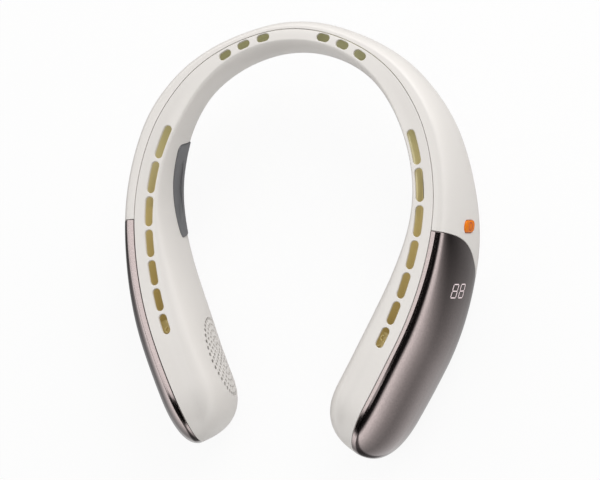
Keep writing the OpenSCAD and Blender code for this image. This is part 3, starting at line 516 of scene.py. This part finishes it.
# Places of the skins' rings along the band, and of their columns across it
ring_step = 1.5
bottom_mark = 3
mark_tolerance = 1e-6
edge_shares = np.array([0, 0.08, 0.3, 0.6, 1])
edge_steps = edge_round * edge_shares
past_edge_share = 1.1
flat_shares = np.array([0.6, 0.97])
bevel_shares = np.array([0.04, 0.5, 0.96, 1])
strip_marks = np.linspace(0.12, 1, 14)
quarter = eased(18)[1:]
tip_turns = np.radians(np.linspace(0, 89.9, 24))[1:]


def tip_stations(w):
    return tip_start + (tip_round - w) * np.sin(tip_turns)


def cover_edge(half, m):
    """Station of the slanted edge of a cover, at each mark."""
    z = (outer_half if half > 0 else inner_half)(np.full(m.shape, float(cover_start)), m, 0)[1]
    return cover_start + cover_sweep * (np.clip(slot_height - z, 0, None) / slot_height) ** 3


def outer_columns(s, low_end):
    """Marks across the outer half at each station: rounded seam edge, rim, upper and lower quarter."""
    edge = edge_steps / blend(s, rim_widths)[:, None]
    share = blend(s, rim_flat_shares)[:, None]
    flat = np.maximum(share * flat_shares, edge[:, -1:] * past_edge_share)
    bevel = share + (1 - share) * bevel_shares
    rest = np.concatenate([1 + quarter, 2 + quarter * (low_end - 2)])
    return np.concatenate([edge, flat, bevel, np.tile(rest, (len(s), 1))], axis=1)


def seam_rounding(half, s, m):
    width = blend(s, rim_widths) if half > 0 else seam_n(s) + strip_edge
    return rounding(np.clip(m, 0, 1) * width, edge_round)


def walled(face_at, wall):
    """Rings of a half with a wall: the outer face, then the inner face run back."""
    return np.concatenate([face_at(0), face_at(wall)[:, ::-1]], axis=1)


def band_skin(name, side_rings):
    """A shell's skin along both arms, joined behind the neck."""
    piece = loft(name, np.concatenate([side_rings(LEFT)[:0:-1], side_rings(RIGHT)]))
    smooth(piece)
    return piece


def inner_shell():
    """The half towards the neck, with its slots and its intake grilles."""
    def side_rings(side):
        def face_at(depth):
            stations = np.concatenate([even(0, tip_start, ring_step), tip_stations(depth)])
            seam_marks = edge_steps / (seam_n(stations) + strip_edge)[:, None]
            rest = np.concatenate([strip_marks, 1 + quarter, 2 + quarter])
            m = np.concatenate([seam_marks, np.tile(rest, (len(stations), 1))], axis=1)
            grid = np.broadcast_to(stations[:, None], m.shape)
            w = seam_rounding(-1, grid, m) if depth == 0 else depth + 0 * m
            return skin_points(-1, side, grid, m, w, depth)

        return walled(face_at, shell_wall)

    piece = band_skin("inner_shell_skin", side_rings)
    makers = (slot_cutter, grille_pocket, grille_cutter, plate_cutter)
    cut_smoothly(piece, *[make(side) for make in makers for side in (LEFT, RIGHT)])
    return piece


def outer_shell():
    """The half away from the neck, sunk under the covers."""
    def side_rings(side):
        def face_at(depth):
            m_row = outer_columns(np.array([cover_start]), bottom_mark)[0]
            edge = cover_edge(1, m_row)
            before_shares = np.linspace(0, 1, round(cover_start / ring_step))[:-1, None]
            before = before_shares * (edge - 2 * edge_round)
            lip = edge_steps[::-1, None]
            after_shares = np.linspace(0, 1, round((tip_start - cover_start) / ring_step))[:, None]
            after = edge + lap + (tip_start - edge - lap) * after_shares
            tip = np.broadcast_to(tip_stations(depth)[:, None], (len(tip_turns), len(m_row)))
            grid = np.concatenate([before, edge - lip, after, tip])
            m = np.concatenate([outer_columns(row[:1], bottom_mark) for row in grid])
            sunk = np.zeros(grid.shape)
            sunk[len(before) + len(lip):] = recess
            sunk = np.where(m <= cover_low_mark + mark_tolerance, sunk, 0)
            if depth == 0:
                to_edge = np.full(grid.shape, edge_round)
                to_edge[len(before):len(before) + len(lip)] = lip
                lip_round = np.where(m <= cover_low_mark, rounding(to_edge, edge_round), 0)
                w = np.maximum(sunk + seam_rounding(1, grid, m), lip_round)
            else:
                w = np.where(sunk.max(axis=1, keepdims=True) > 0, recess, 0) + depth + 0 * m
            return skin_points(1, side, grid, m, w, depth)

        return walled(face_at, shell_wall)

    piece = band_skin("outer_shell_skin", side_rings)
    cut_smoothly(piece, button_cutter())
    return piece


def cover(side, name):
    """A glossy cover over the outer half of an arm, rounded along its edges."""
    def columns(s):
        marks = outer_columns(s, cover_low_mark)[:, :-1]
        ends = np.tile(cover_low_mark - low_edge_marks * edge_shares[::-1], (len(s), 1))
        return np.sort(np.concatenate([marks, ends], axis=1), axis=1)

    def face_at(depth):
        m_row = columns(np.array([cover_start]))[0]
        near = cover_edge(1, m_row) + cover_gap + edge_steps[:, None]
        shares = np.linspace(0, 1, round((tip_start - cover_start) / ring_step))[1:, None]
        along = near[-1] + (tip_start - near[-1]) * shares
        tip = np.broadcast_to(tip_stations(depth)[:, None], (len(tip_turns), len(m_row)))
        grid = np.concatenate([near, along, tip])
        m = np.concatenate([columns(row[:1]) for row in grid])
        if depth > 0:
            return skin_points(1, side, grid, m, depth + 0 * m, depth)
        from_edge = np.full(grid.shape, edge_round)
        from_edge[:len(near)] = edge_steps[:, None]
        from_low = np.clip((cover_low_mark - m) * low_edge_scale, 0, None)
        w = np.maximum(rounding(from_edge, edge_round), rounding(from_low, edge_round))
        return skin_points(1, side, grid, m, np.maximum(w, seam_rounding(1, grid, m)), 0)

    piece = loft(name, walled(face_at, cover_wall))
    smooth(piece, 30)
    return piece


def stadium(length, width, offset, end_points=9, side_points=6):
    """Outline of a slot, widened by an offset."""
    half, r = (length - width) / 2, width / 2 + offset
    turns = np.linspace(-math.pi / 2, math.pi / 2, end_points)
    end = [(half + r * math.cos(a), r * math.sin(a)) for a in turns]
    straight = [(half - 2 * half * t, r) for t in np.linspace(0, 1, side_points + 2)[1:-1]]
    half_way = np.array(end + straight)
    return np.concatenate([half_way, -half_way])


def slot_cutter(side):
    """Cuts the air slots of one side, each with a rounded upper edge."""
    slots = []
    station = first_slot
    for i in range(slot_count):
        length = slot_length - slot_step * i
        slots.append((station, length, slot_width))
        station += length - slot_step / 2 + slot_bar
    for i in range(back_slot_count):
        slots.append((back_slot_start + i * back_slot_pitch, back_slot_length, back_slot_width))
    turns = np.radians(np.linspace(0, 90, 6))
    rounded = [(slot_round * (1 - math.sin(a)), -slot_round * (1 - math.cos(a))) for a in turns]
    profile = [(slot_round, cutter_lift)] + rounded + [(0, -2 * shell_wall)]
    solids = []
    for station, length, width in slots:
        loops = []
        for offset, dz in profile:
            outline = stadium(length, width, offset)
            s, n = station + outline[:, 0], outline[:, 1]
            loops.append(place(side, s, n, top_z(s) + strip_rise(s, n) + dz))
        solids.append(prism(loops))
    return gather("slot_cutter", solids)


def grille_cutter(side):
    """Cuts the rings of intake holes, each with a countersunk edge."""
    centres = [(0.0, 0.0, 1.0)]
    for k in range(1, grille_rings + 1):
        size = grille_edge_share if k == grille_rings else 1.0
        for i in range(6 * k):
            a = math.radians(60 * i / k)
            dz = k * grille_pitch * grille_oval_share * math.sin(a)
            centres.append((k * grille_pitch * math.cos(a), dz, size))
    turns = around(hole_sides)
    solids = []
    for dx, dz, size in centres:
        middle_s, middle_z = grille_station + dx, grille_height + dz
        middle_n = closing_n(-1, np.array([middle_s]), np.array([middle_z]))
        loops = []
        for lift, widen in hole_profile:
            r = grille_hole / 2 * size + widen
            s, z = middle_s + r * np.cos(turns), middle_z + r * np.sin(turns)
            n = closing_n(-1, s, z) if abs(lift) < hole_follow else middle_n + 0 * s
            loops.append(place(side, s, n - lift, z))
        solids.append(prism(loops))
    return gather("grille_cutter", solids)


def wall_slope(half, s, z, step=0.5):
    """How much longer a way through the wall is across the band than square to the wall."""
    rise = closing_n(half, s, z + step) - closing_n(half, s, z - step)
    run = closing_n(half, s + step, z) - closing_n(half, s - step, z)
    return np.sqrt(1 + (rise ** 2 + run ** 2) / (2 * step) ** 2)


def grille_pocket(side):
    """Thins the wall behind the grille."""
    turns = around(pocket_sides)
    reach = (grille_rings + pocket_margin_share) * grille_pitch
    loops = []
    for depth, shares in ((grille_wall, pocket_shares), (2 * shell_wall, pocket_shares[::-1])):
        for share in shares:
            s = grille_station + share * reach * np.cos(turns)
            z = grille_height + share * reach * grille_oval_share * np.sin(turns)
            loops.append(place(side, s, closing_n(-1, s, z) + depth * wall_slope(-1, s, z), z))
    return gather("grille_pocket", [prism(loops)])


def wall_frame(station, height):
    """Middle and axes of a place on the right outer wall: along the band, out of the wall, up along it."""
    s = np.array([float(station)])
    z = np.array([float(height)])
    step = shell_wall
    tilt = math.atan2(float(wall_n(1, s, z - step)[0] - wall_n(1, s, z + step)[0]), 2 * step)
    x, y, heading = (float(v[0]) for v in travel(s))
    n = float(wall_n(1, s, z)[0])
    middle = Vector((x + math.sin(heading) * n, y + math.cos(heading) * n, height)) * MM
    along = Vector((math.cos(heading), -math.sin(heading), 0))
    flat = Vector((math.sin(heading), math.cos(heading), 0))
    out = flat * math.cos(tilt) + Vector((0, 0, math.sin(tilt)))
    up = Vector((0, 0, math.cos(tilt))) - flat * math.sin(tilt)
    return middle, along, out, up


def on_wall(spot, outline, lift):
    """Points of an outline at a lift over the wall, slanted along the band."""
    middle, along, out, up = spot
    return [list(middle + (along * (x + wall_shear * y) + up * y + out * lift) * MM) for x, y in outline]


def rounded_outline(length, width, corner, per_corner=7):
    """Outline of a rounded rectangle around the origin: length along the first axis."""
    points = []
    for k, (sx, sy) in enumerate(((1, 1), (-1, 1), (-1, -1), (1, -1))):
        cx, cy = sx * (length / 2 - corner), sy * (width / 2 - corner)
        for a in np.linspace(0, math.pi / 2, per_corner) + k * math.pi / 2:
            points.append((cx + corner * math.cos(a), cy + corner * math.sin(a)))
    return np.array(points)


def button_cutter():
    """Cuts the button's window, with a rounded edge."""
    spot = wall_frame(button_station, button_height)
    loops = []
    for lift, widen in window_profile:
        grow = button_gap + widen
        outline = rounded_outline(button_width + 2 * grow, button_length + 2 * grow, button_corner + grow)
        loops.append(on_wall(spot, outline, lift))
    return gather("button_cutter", [prism(loops)])


def power_button():
    """The amber button: a crowned cap with a rounded edge."""
    spot = wall_frame(button_station, button_height)
    edge_lift = button_proud - button_edge - button_crown
    layers = [(0, -button_depth)]
    for a in np.radians([0, 20, 40, 60, 80, 90]):
        layers.append((button_edge * (1 - math.cos(a)), edge_lift + button_edge * math.sin(a)))
    for share in button_crown_shares:
        inset = button_edge + (button_width / 2 - button_edge) * share
        layers.append((inset, button_proud - button_crown * (1 - share) ** 2))
    loops = []
    for inset, lift in layers:
        corner = max(button_corner - inset, button_least_corner)
        outline = rounded_outline(button_width - 2 * inset, button_length - 2 * inset, corner)
        loops.append(on_wall(spot, outline, lift))
    piece = gather("power_button_cap", [prism(loops)])
    smooth(piece, 40)
    return piece


def button_mark():
    """The darker ring on the button, hardly raised over its crown."""
    spot = wall_frame(button_station, button_height)
    turns = around(mark_sides)
    verts = []
    for a in turns:
        for grow, lift in ((-0.5, mark_lift), (0.5, mark_lift), (0.5, -mark_sink), (-0.5, -mark_sink)):
            r = mark_radius + grow * mark_width
            across = r * math.cos(a)
            crown = button_crown * (across / (button_width / 2 - button_edge)) ** 2
            verts += on_wall(spot, [(across, r * math.sin(a))], button_proud - crown + lift)
    piece = gather("power_button_mark", [(verts, ring_faces(len(turns), 4, closed=True))])
    smooth(piece, 40)
    return piece


def digit_bars():
    """Middle lines of the segments of two digits: x towards the digits' foot, y across."""
    half_w, half_h = (digit_width - stroke) / 2, (digit_height - stroke) / 2
    bars = []
    for d in (-1, 1):
        shift = d * digit_pitch / 2
        for x in (-half_h, 0, half_h):
            bars.append(((x, shift - half_w + segment_gap), (x, shift + half_w - segment_gap)))
        for x in (-half_h / 2, half_h / 2):
            start, end = x - half_h / 2 + segment_gap, x + half_h / 2 - segment_gap
            for y in (-half_w, half_w):
                bars.append(((start, shift + y), (end, shift + y)))
    return bars


def display_digits():
    """The two digits, laid on the cover's surface as thin raised segments with pointed ends."""
    solids = []
    t = stroke / 2
    for (x0, y0), (x1, y1) in digit_bars():
        length = math.hypot(x1 - x0, y1 - y0)
        ux, uy = (x1 - x0) / length, (y1 - y0) / length
        upper = ((0, 0), (t, t), (length / 2, t), (length - t, t), (length, 0))
        lower = ((length - t, -t), (length / 2, -t), (t, -t))
        outline = []
        for f, g in upper + lower:
            x, y = x0 + ux * f - uy * g, y0 + uy * f + ux * g
            outline.append((x, y + math.tan(digit_slant) * x))
        outline = np.array(outline)
        s = display_station + outline[:, 0] + wall_shear * outline[:, 1]
        z = display_height + outline[:, 1]
        n = wall_n(1, s, z)
        solids.append(prism([place(RIGHT, s, n + lift, z) for lift in digit_lifts]))
    piece = gather("display_digit_bars", solids)
    smooth(piece, 40, weigh=False)
    return piece


def densify(outline, step):
    """The same closed outline with extra points on its long stretches."""
    points = []
    for a, b in zip(outline, np.roll(outline, -1, axis=0)):
        count = max(1, int(math.ceil(np.linalg.norm(b - a) / step)))
        points.extend([a + (b - a) * k / count for k in range(count)])
    return np.array(points)


def resample(loop, count):
    """A closed loop of evenly spaced points, starting where the loop starts."""
    closed = np.vstack([loop, loop[:1]])
    length = np.concatenate([[0], np.cumsum(np.linalg.norm(np.diff(closed, axis=0), axis=1))])
    marks = np.linspace(0, length[-1], count + 1)[:-1]
    return np.stack([np.interp(marks, length, closed[:, i]) for i in range(3)], axis=1)


def plate_solid(side, layers):
    """Points and faces of a solid through the plate's outline, at insets and lifts over the inner wall."""
    c, k = math.cos(plate_slope), math.sin(plate_slope)
    loops = []
    for inset, lift in layers:
        corner = max(plate_corner - inset, plate_least_corner)
        length, width = plate_length - 2 * inset, plate_width - 2 * inset
        outline = densify(rounded_outline(length, width, corner, plate_corner_points), plate_point_step)
        s = plate_station + outline[:, 0] * c + outline[:, 1] * k
        z = plate_height - outline[:, 0] * k + outline[:, 1] * c
        loops.append(resample(place(side, s, wall_n(-1, s, z) - lift, z), plate_points))
    return prism(loops)


def cooling_plate(side, name):
    """A plate in a recess of the inner wall, with a rounded edge all around."""
    layers = [(0, plate_proud - plate_wall), (0, plate_proud - plate_edge)]
    for a in np.radians([15, 30, 45, 60, 75, 90]):
        layers.append((plate_edge * (1 - math.cos(a)), plate_proud - plate_edge * (1 - math.sin(a))))
    for share in plate_face_shares:
        layers.append((plate_edge + share * (plate_width / 2 - plate_edge - plate_ridge), plate_proud))
    piece = gather(name, [plate_solid(side, layers)])
    smooth(piece, 40)
    return piece


def plate_cutter(side):
    """Cuts the plate's recess, with a rounded edge."""
    floor_lift = plate_proud - plate_wall - recess_floor_gap
    layers = [(-plate_gap - share * recess_edge, lift) for share, lift in recess_profile]
    layers.append((-plate_gap, floor_lift))
    layers += [(share * plate_width / 2, floor_lift) for share in recess_floor_shares]
    return gather("plate_cutter", [plate_solid(side, layers)])


# Materials

grain_detail = 3
grain_strength = 0.35
drift_scale = 35
lacquer_colour = (0.277, 0.23, 0.224)
flake_scale = 2200
flake_noise = (0.3, 0.7)
flake_tints = (0.85, 1.15)
# Colours of the ducts' walls, darker towards the arms' ends as painted shade, and their glow, a painted light
# for the light that comes in through the slots, at places from the arms' ends to the back
duct_places = (-50, 10, 35, 80)
duct_painted_shade_colours = ((0.44, 0.365, 0.16), (0.52, 0.46, 0.24), (0.54, 0.50, 0.31), (0.43, 0.42, 0.27))
duct_painted_glows = ((0.20, 0.145, 0.05), (0.30, 0.245, 0.12), (0.33, 0.285, 0.16), (0.23, 0.22, 0.13))
# Strength of the ducts' painted glow
duct_painted_glow_strength = 0.55
digit_colour = (0.84, 0.71, 0.73)
digit_strength = 0.27


def set_inputs(node, **values):
    """Sets a node's inputs by name, with _ for a space."""
    for key, value in values.items():
        node.inputs[key.replace("_", " ")].default_value = value


def calculate(tree, operation, *values):
    """The result of a maths node, whose values are numbers or other nodes' outputs."""
    node = tree.nodes.new("ShaderNodeMath")
    node.operation = operation
    for socket, value in zip(node.inputs, values):
        if isinstance(value, (int, float)):
            socket.default_value = value
        else:
            tree.links.new(value, socket)
    return node.outputs[0]


def map_range(tree, value, from_min, from_max, to_min=0, to_max=1, kind="LINEAR"):
    node = tree.nodes.new("ShaderNodeMapRange")
    node.interpolation_type = kind
    set_inputs(node, From_Min=from_min, From_Max=from_max, To_Min=to_min, To_Max=to_max)
    tree.links.new(value, node.inputs["Value"])
    return node.outputs["Result"]


def colour_ramp(tree, value, stops):
    """Colours at positions from 0 to 1. The first two stops take those that a new ramp has."""
    node = tree.nodes.new("ShaderNodeValToRGB")
    elements = node.color_ramp.elements
    for k, (position, colour) in enumerate(stops):
        stop = elements[k] if k < 2 else elements.new(position)
        stop.position = position
        stop.color = (*colour, 1)
    tree.links.new(value, node.inputs["Fac"])
    return node.outputs["Color"]


def mix_shaders(tree, share, first, second):
    node = tree.nodes.new("ShaderNodeMixShader")
    for socket, output in zip(node.inputs, (share, first, second)):
        tree.links.new(output, socket)
    return node.outputs[0]


def new_material(name, **sockets):
    material = bpy.data.materials.new(name)
    material.use_nodes = True
    shader = material.node_tree.nodes["Principled BSDF"]
    set_inputs(shader, **sockets)
    return material, material.node_tree, shader


def grain_group():
    """Fine moulded grain: a normal, and a roughness that drifts over the surface."""
    group = bpy.data.node_groups.new("moulded_grain", "ShaderNodeTree")
    for name in ("Scale", "Height", "Roughness", "Spread"):
        group.interface.new_socket(name, in_out="INPUT", socket_type="NodeSocketFloat")
    for name, kind in (("Roughness", "NodeSocketFloat"), ("Normal", "NodeSocketVector")):
        group.interface.new_socket(name, in_out="OUTPUT", socket_type=kind)
    nodes, links = group.nodes, group.links
    inputs, outputs = nodes.new("NodeGroupInput"), nodes.new("NodeGroupOutput")
    coords = nodes.new("ShaderNodeTexCoord")
    noise, cloud, bump = (nodes.new("ShaderNode" + kind) for kind in ("TexNoise", "TexNoise", "Bump"))
    set_inputs(noise, Detail=grain_detail)
    set_inputs(cloud, Scale=drift_scale)
    set_inputs(bump, Strength=grain_strength)
    links.new(coords.outputs["Object"], noise.inputs["Vector"])
    links.new(coords.outputs["Object"], cloud.inputs["Vector"])
    links.new(inputs.outputs["Scale"], noise.inputs["Scale"])
    links.new(noise.outputs["Fac"], bump.inputs["Height"])
    links.new(inputs.outputs["Height"], bump.inputs["Distance"])
    centred = calculate(group, "SUBTRACT", cloud.outputs["Fac"], 0.5)
    drift = calculate(group, "MULTIPLY_ADD", centred, inputs.outputs["Spread"], inputs.outputs["Roughness"])
    links.new(drift, outputs.inputs["Roughness"])
    links.new(bump.outputs["Normal"], outputs.inputs["Normal"])
    return group


grain = grain_group()


def add_grain(tree, shader, roughness, height, scale, spread):
    """Grain of a height in millimetres, with its noise's scale for a metre."""
    node = tree.nodes.new("ShaderNodeGroup")
    node.node_tree = grain
    set_inputs(node, Roughness=roughness, Height=height * MM, Scale=scale, Spread=spread)
    for name in ("Roughness", "Normal"):
        tree.links.new(node.outputs[name], shader.inputs[name])


def plastic(name, colour, roughness=0.4, height=0.02, scale=900, spread=0.08, **sockets):
    """A moulded finish. Its roughness drifts by the spread, and its grain has a height and a scale."""
    material, tree, shader = new_material(name, Base_Color=(*colour, 1), **sockets)
    add_grain(tree, shader, roughness, height, scale, spread)
    return material


def metal(name, colour, roughness, height=0.006, scale=1500):
    return plastic(name, colour, roughness, height, scale, Metallic=1.0)


def gunmetal():
    """The covers' metallic lacquer, with fine flakes under a clear coat."""
    material, tree, shader = new_material(
        "gunmetal_lacquer", Metallic=1.0, Coat_Weight=0.6, Coat_Roughness=0.03)
    nodes, links = tree.nodes, tree.links
    coords = nodes.new("ShaderNodeTexCoord")
    flake = nodes.new("ShaderNodeTexNoise")
    set_inputs(flake, Scale=flake_scale, Detail=1)
    links.new(coords.outputs["Object"], flake.inputs["Vector"])
    tinted = nodes.new("ShaderNodeVectorMath")
    tinted.operation = "SCALE"
    tinted.inputs[0].default_value = lacquer_colour
    links.new(map_range(tree, flake.outputs["Fac"], *flake_noise, *flake_tints), tinted.inputs["Scale"])
    links.new(tinted.outputs["Vector"], shader.inputs["Base Color"])
    add_grain(tree, shader, 0.15, 0.0008, 1800, 0.04)
    return material


def painted_light_duct_plastic():
    """Olive plastic with painted shade, darker towards the arms' ends where less light comes in, and a
    painted glow for the light that does come in.
    """
    material, tree, shader = new_material("olive_plastic_painted_light", Emission_Strength=duct_painted_glow_strength)
    coords = tree.nodes.new("ShaderNodeTexCoord")
    parts = tree.nodes.new("ShaderNodeSeparateXYZ")
    tree.links.new(coords.outputs["Object"], parts.inputs["Vector"])
    first, last = duct_places[0], duct_places[-1]
    share = map_range(tree, parts.outputs["Y"], first * MM, last * MM)
    shares = [(spot - first) / (last - first) for spot in duct_places]
    # The base colour carries the painted shade and the emission carries the painted glow, both ramped along
    # the object's Y
    for socket, colours in (("Base Color", duct_painted_shade_colours), ("Emission Color", duct_painted_glows)):
        tree.links.new(colour_ramp(tree, share, zip(shares, colours)), shader.inputs[socket])
    add_grain(tree, shader, 0.42, 0.03, 600, 0.1)
    return material


ivory = plastic("ivory_plastic", (0.80, 0.77, 0.74), 0.36, 0.02, 1100, 0.06)
lacquer = gunmetal()
# Duct walls with painted shade and a painted glow
olive_painted_light = painted_light_duct_plastic()
plate_grey = plastic("anodised_plate", (0.205, 0.205, 0.215), 0.42, 0.008, 1500, 0.06, Metallic=0.35)
amber = plastic("amber_plastic", (0.83, 0.205, 0.002), 0.22, 0.006, 500, 0.04, Specular_IOR_Level=0.3)
amber_dark = plastic("amber_mark", (0.44, 0.045, 0.004), 0.3, 0.006, 500, 0.04, Specular_IOR_Level=0.3)
digit_light = plastic("digit_light", digit_colour, 0.3, 0.004, 600, 0.04,
    Emission_Color=(*digit_colour, 1), Emission_Strength=digit_strength)
finishes = {
    "shell": ivory, "cover": lacquer, "duct": olive_painted_light, "cooling_plate": plate_grey,
    "peltier": plastic("ceramic_white", (0.80, 0.80, 0.77), 0.5),
    "heat_sink": metal("bare_aluminium", (0.72, 0.73, 0.75), 0.35),
    "blower_case": plastic("warm_grey_plastic", (0.62, 0.60, 0.56), 0.5),
    "impeller": plastic("pale_plastic", (0.74, 0.72, 0.67), 0.42),
    "magnet": plastic("dark_magnet", (0.05, 0.05, 0.055), 0.45, Metallic=0.6),
    "steel": metal("brushed_steel", (0.62, 0.63, 0.65), 0.3),
    "bearing": metal("sintered_bronze", (0.60, 0.42, 0.20), 0.5),
    "winding": metal("copper_winding", (0.72, 0.32, 0.15), 0.35, 0.08, 500),
    "board": plastic("board_green", (0.02, 0.14, 0.06), 0.35),
    "battery": plastic("battery_wrap", (0.35, 0.47, 0.58), 0.3),
    "tray": plastic("tray_plastic", (0.70, 0.68, 0.63), 0.5),
    "digits": digit_light, "button": amber,
    "switch": plastic("switch_black", (0.03, 0.03, 0.033), 0.4),
    "wire": plastic("wire_black", (0.03, 0.03, 0.032), 0.5, 0.08, 400),
}


def dress(piece, material):
    piece.data.materials.clear()
    piece.data.materials.append(material)


# Pieces

def add(piece, node, material, body="frame"):
    """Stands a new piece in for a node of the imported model."""
    dress(piece, material)
    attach(piece, body)
    if node:
        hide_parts(node)


slot_of = {part["node"]: part["material_slot"] for part in frame["record"]["subparts"]}
for node, obj in frame["nodes"].items():
    dress(obj, finishes[slot_of[node]])

add(inner_shell(), "inner_shell", ivory)
add(outer_shell(), "outer_shell", ivory)
for side, word in ((LEFT, "left"), (RIGHT, "right")):
    add(cover(side, f"{word}_cover_lacquered"), f"{word}_cover", lacquer)
    add(cooling_plate(side, f"{word}_plate_rounded"), f"{word}_cooling_plate", plate_grey)
add(power_button(), "power_button", amber, "power_button")
add(button_mark(), None, amber_dark, "power_button")
add(display_digits(), "display_digits", digit_light)


# Floor, lamp and camera

floor_half = 3000
floor_colour = (0.93, 0.93, 0.93)
floor_white_share = 0.9
even_level = 0.74
# How much brighter the even light is from the left, from behind and from above
even_turns = (-0.07, 0.24, 0)
even_colour = (1.0, 0.995, 0.985)
softbox_level = 2.75
softbox_tilt = 28
softbox_across = (0.455, 0.485)
softbox_deep = (0.28, 0.42)
# Brightness of the mirrored surroundings at each height of a direction, straight down first, then straight up
mirror_scale = 3
mirror_colour = (0.8, 0.8, 0.8)
front_levels = (
    (-1, 0.37), (1, 0.004), (-0.91, 0.35), (-0.81, 0.31), (-0.67, 0.2), (-0.56, 0.165), (-0.34, 0.29),
    (-0.14, 0.51), (0.1, 0.76), (0.24, 0.84), (0.33, 0.5), (0.44, 0.04), (0.52, 0.004))
side_levels = (
    (-1, 0.173), (1, 0.004), (-0.91, 0.133), (-0.81, 0.093), (-0.67, 0.047), (-0.5, 0.023), (-0.34, 0.033),
    (-0.14, 0.09), (-0.08, 0.2), (-0.02, 0.52), (0.05, 0.78), (0.24, 0.84), (0.33, 0.5), (0.44, 0.04),
    (0.52, 0.004))
# How far forwards a direction points where the front's levels begin and where they are whole
front_turn = (0, 0.38)
# A dark flag in front, narrow from side to side
flag_front = (0.3, 0.5)
flag_centre = -0.17
flag_across = (0.13, 0.24)
flag_level = 0.15
key_place = (600, 1200, 850)
key_aim = (0, 0, 30)
key_size = 800
key_power_w = 9
camera_place = (297.85, -79.38, 832.51)
camera_aim = (4.67, -2.20, 30.0)
camera_roll = math.radians(-4.269)
camera_lens = 97.18
camera_sensor = 36
camera_nearest = 50


def floor():
    """A pale floor, nearly white for the camera, with the object's soft shadow."""
    half = floor_half * MM
    corners = [(-half, -half, 0), (half, -half, 0), (half, half, 0), (-half, half, 0)]
    piece = new_object("studio_floor", corners, [(0, 1, 2, 3)])
    material, tree, shader = new_material("floor_white", Base_Color=(*floor_colour, 1), Roughness=0.9)
    path = tree.nodes.new("ShaderNodeLightPath")
    white = tree.nodes.new("ShaderNodeEmission")
    set_inputs(white, Color=(1, 1, 1, 1))
    share = calculate(tree, "MULTIPLY", path.outputs["Is Camera Ray"], floor_white_share)
    surface = mix_shaders(tree, share, shader.outputs[0], white.outputs[0])
    tree.links.new(surface, tree.nodes["Material Output"].inputs["Surface"])
    dress(piece, material)
    piece.visible_glossy = False


def studio_world():
    """Even light, white for the camera. Mirrors see a softbox overhead, dark walls and a pale floor."""
    world = bpy.data.worlds.new("studio")
    bpy.context.scene.world = world
    world.use_nodes = True
    tree = world.node_tree
    tree.nodes.clear()
    coords = tree.nodes.new("ShaderNodeTexCoord")

    def combine(operation, *values):
        return calculate(tree, operation, *values)

    def along(axis):
        """How far a direction lies along an axis."""
        node = tree.nodes.new("ShaderNodeVectorMath")
        node.operation = "DOT_PRODUCT"
        node.inputs[1].default_value = axis
        tree.links.new(coords.outputs["Generated"], node.inputs[0])
        return node.outputs["Value"]

    def fade(value, start, end):
        """1 up to the start and 0 from the end, of the value's size."""
        return map_range(tree, combine("ABSOLUTE", value), start, end, 1, 0, "SMOOTHSTEP")

    def bands(levels):
        """Brightness by height."""
        height_share = combine("MULTIPLY_ADD", along((0, 0, 1)), 0.5, 0.5)
        stops = [((height + 1) / 2, (level, level, level)) for height, level in levels]
        return combine("MULTIPLY", colour_ramp(tree, height_share, stops), mirror_scale)

    def background(colour, strength=None):
        node = tree.nodes.new("ShaderNodeBackground")
        set_inputs(node, Color=(*colour, 1))
        if strength:
            tree.links.new(strength, node.inputs["Strength"])
        return node.outputs[0]

    tilt = math.radians(softbox_tilt)
    across = fade(along((math.cos(tilt), 0, math.sin(tilt))), *softbox_across)
    deep = fade(along((0, 1, 0)), *softbox_deep)
    upper = combine("GREATER_THAN", along((-math.sin(tilt), 0, math.cos(tilt))), 0)
    box = combine("MULTIPLY", combine("MULTIPLY", across, deep), upper)
    forwards = along((0, -1, 0))
    front, beside = bands(front_levels), bands(side_levels)
    turned = combine("MULTIPLY", map_range(tree, forwards, *front_turn), combine("SUBTRACT", front, beside))
    flag_side = fade(combine("SUBTRACT", along((1, 0, 0)), flag_centre), *flag_across)
    flag = combine("MULTIPLY", map_range(tree, forwards, *flag_front, 0, 1 - flag_level), flag_side)
    walls = combine("MULTIPLY", combine("ADD", beside, turned), combine("SUBTRACT", 1, flag))
    strength = combine("ADD", combine("MULTIPLY", box, softbox_level), walls)
    even_light = background(even_colour, combine("ADD", along(even_turns), even_level))
    path = tree.nodes.new("ShaderNodeLightPath")
    light = mix_shaders(tree, path.outputs["Is Glossy Ray"], even_light, background(mirror_colour, strength))
    seen = mix_shaders(tree, path.outputs["Is Camera Ray"], light, background((1, 1, 1)))
    output = tree.nodes.new("ShaderNodeOutputWorld")
    tree.links.new(seen, output.inputs["Surface"])


def softbox(name, spot, aim, size, power_w):
    """A square lamp that looks at its aim."""
    data = bpy.data.lights.new(name, "AREA")
    data.size = size * MM
    data.energy = power_w
    lamp = bpy.data.objects.new(name, data)
    bpy.context.scene.collection.objects.link(lamp)
    lamp.location = Vector(spot) * MM
    lamp.rotation_euler = (Vector(aim) - Vector(spot)).to_track_quat("-Z", "Y").to_euler()


def camera():
    """The photograph's viewpoint, fitted to the object's outline."""
    spot, aim = Vector(camera_place), Vector(camera_aim)
    back = (spot - aim).normalized()
    right = Vector((0, 1, 0)).cross(back).normalized()
    turned_up = back.cross(right) * math.cos(camera_roll) + right * math.sin(camera_roll)
    data = bpy.data.cameras.new("camera")
    data.lens = camera_lens
    data.sensor_width = camera_sensor
    data.clip_start = camera_nearest * MM
    viewer = bpy.data.objects.new("camera", data)
    bpy.context.scene.collection.objects.link(viewer)
    turn = Matrix((turned_up.cross(back), turned_up, back)).transposed()
    viewer.matrix_world = Matrix.Translation(spot * MM) @ turn.to_4x4()
    bpy.context.scene.camera = viewer


floor()
studio_world()
softbox("key_softbox", key_place, key_aim, key_size, key_power_w)
camera()
bpy.context.scene.view_settings.view_transform = "Standard"
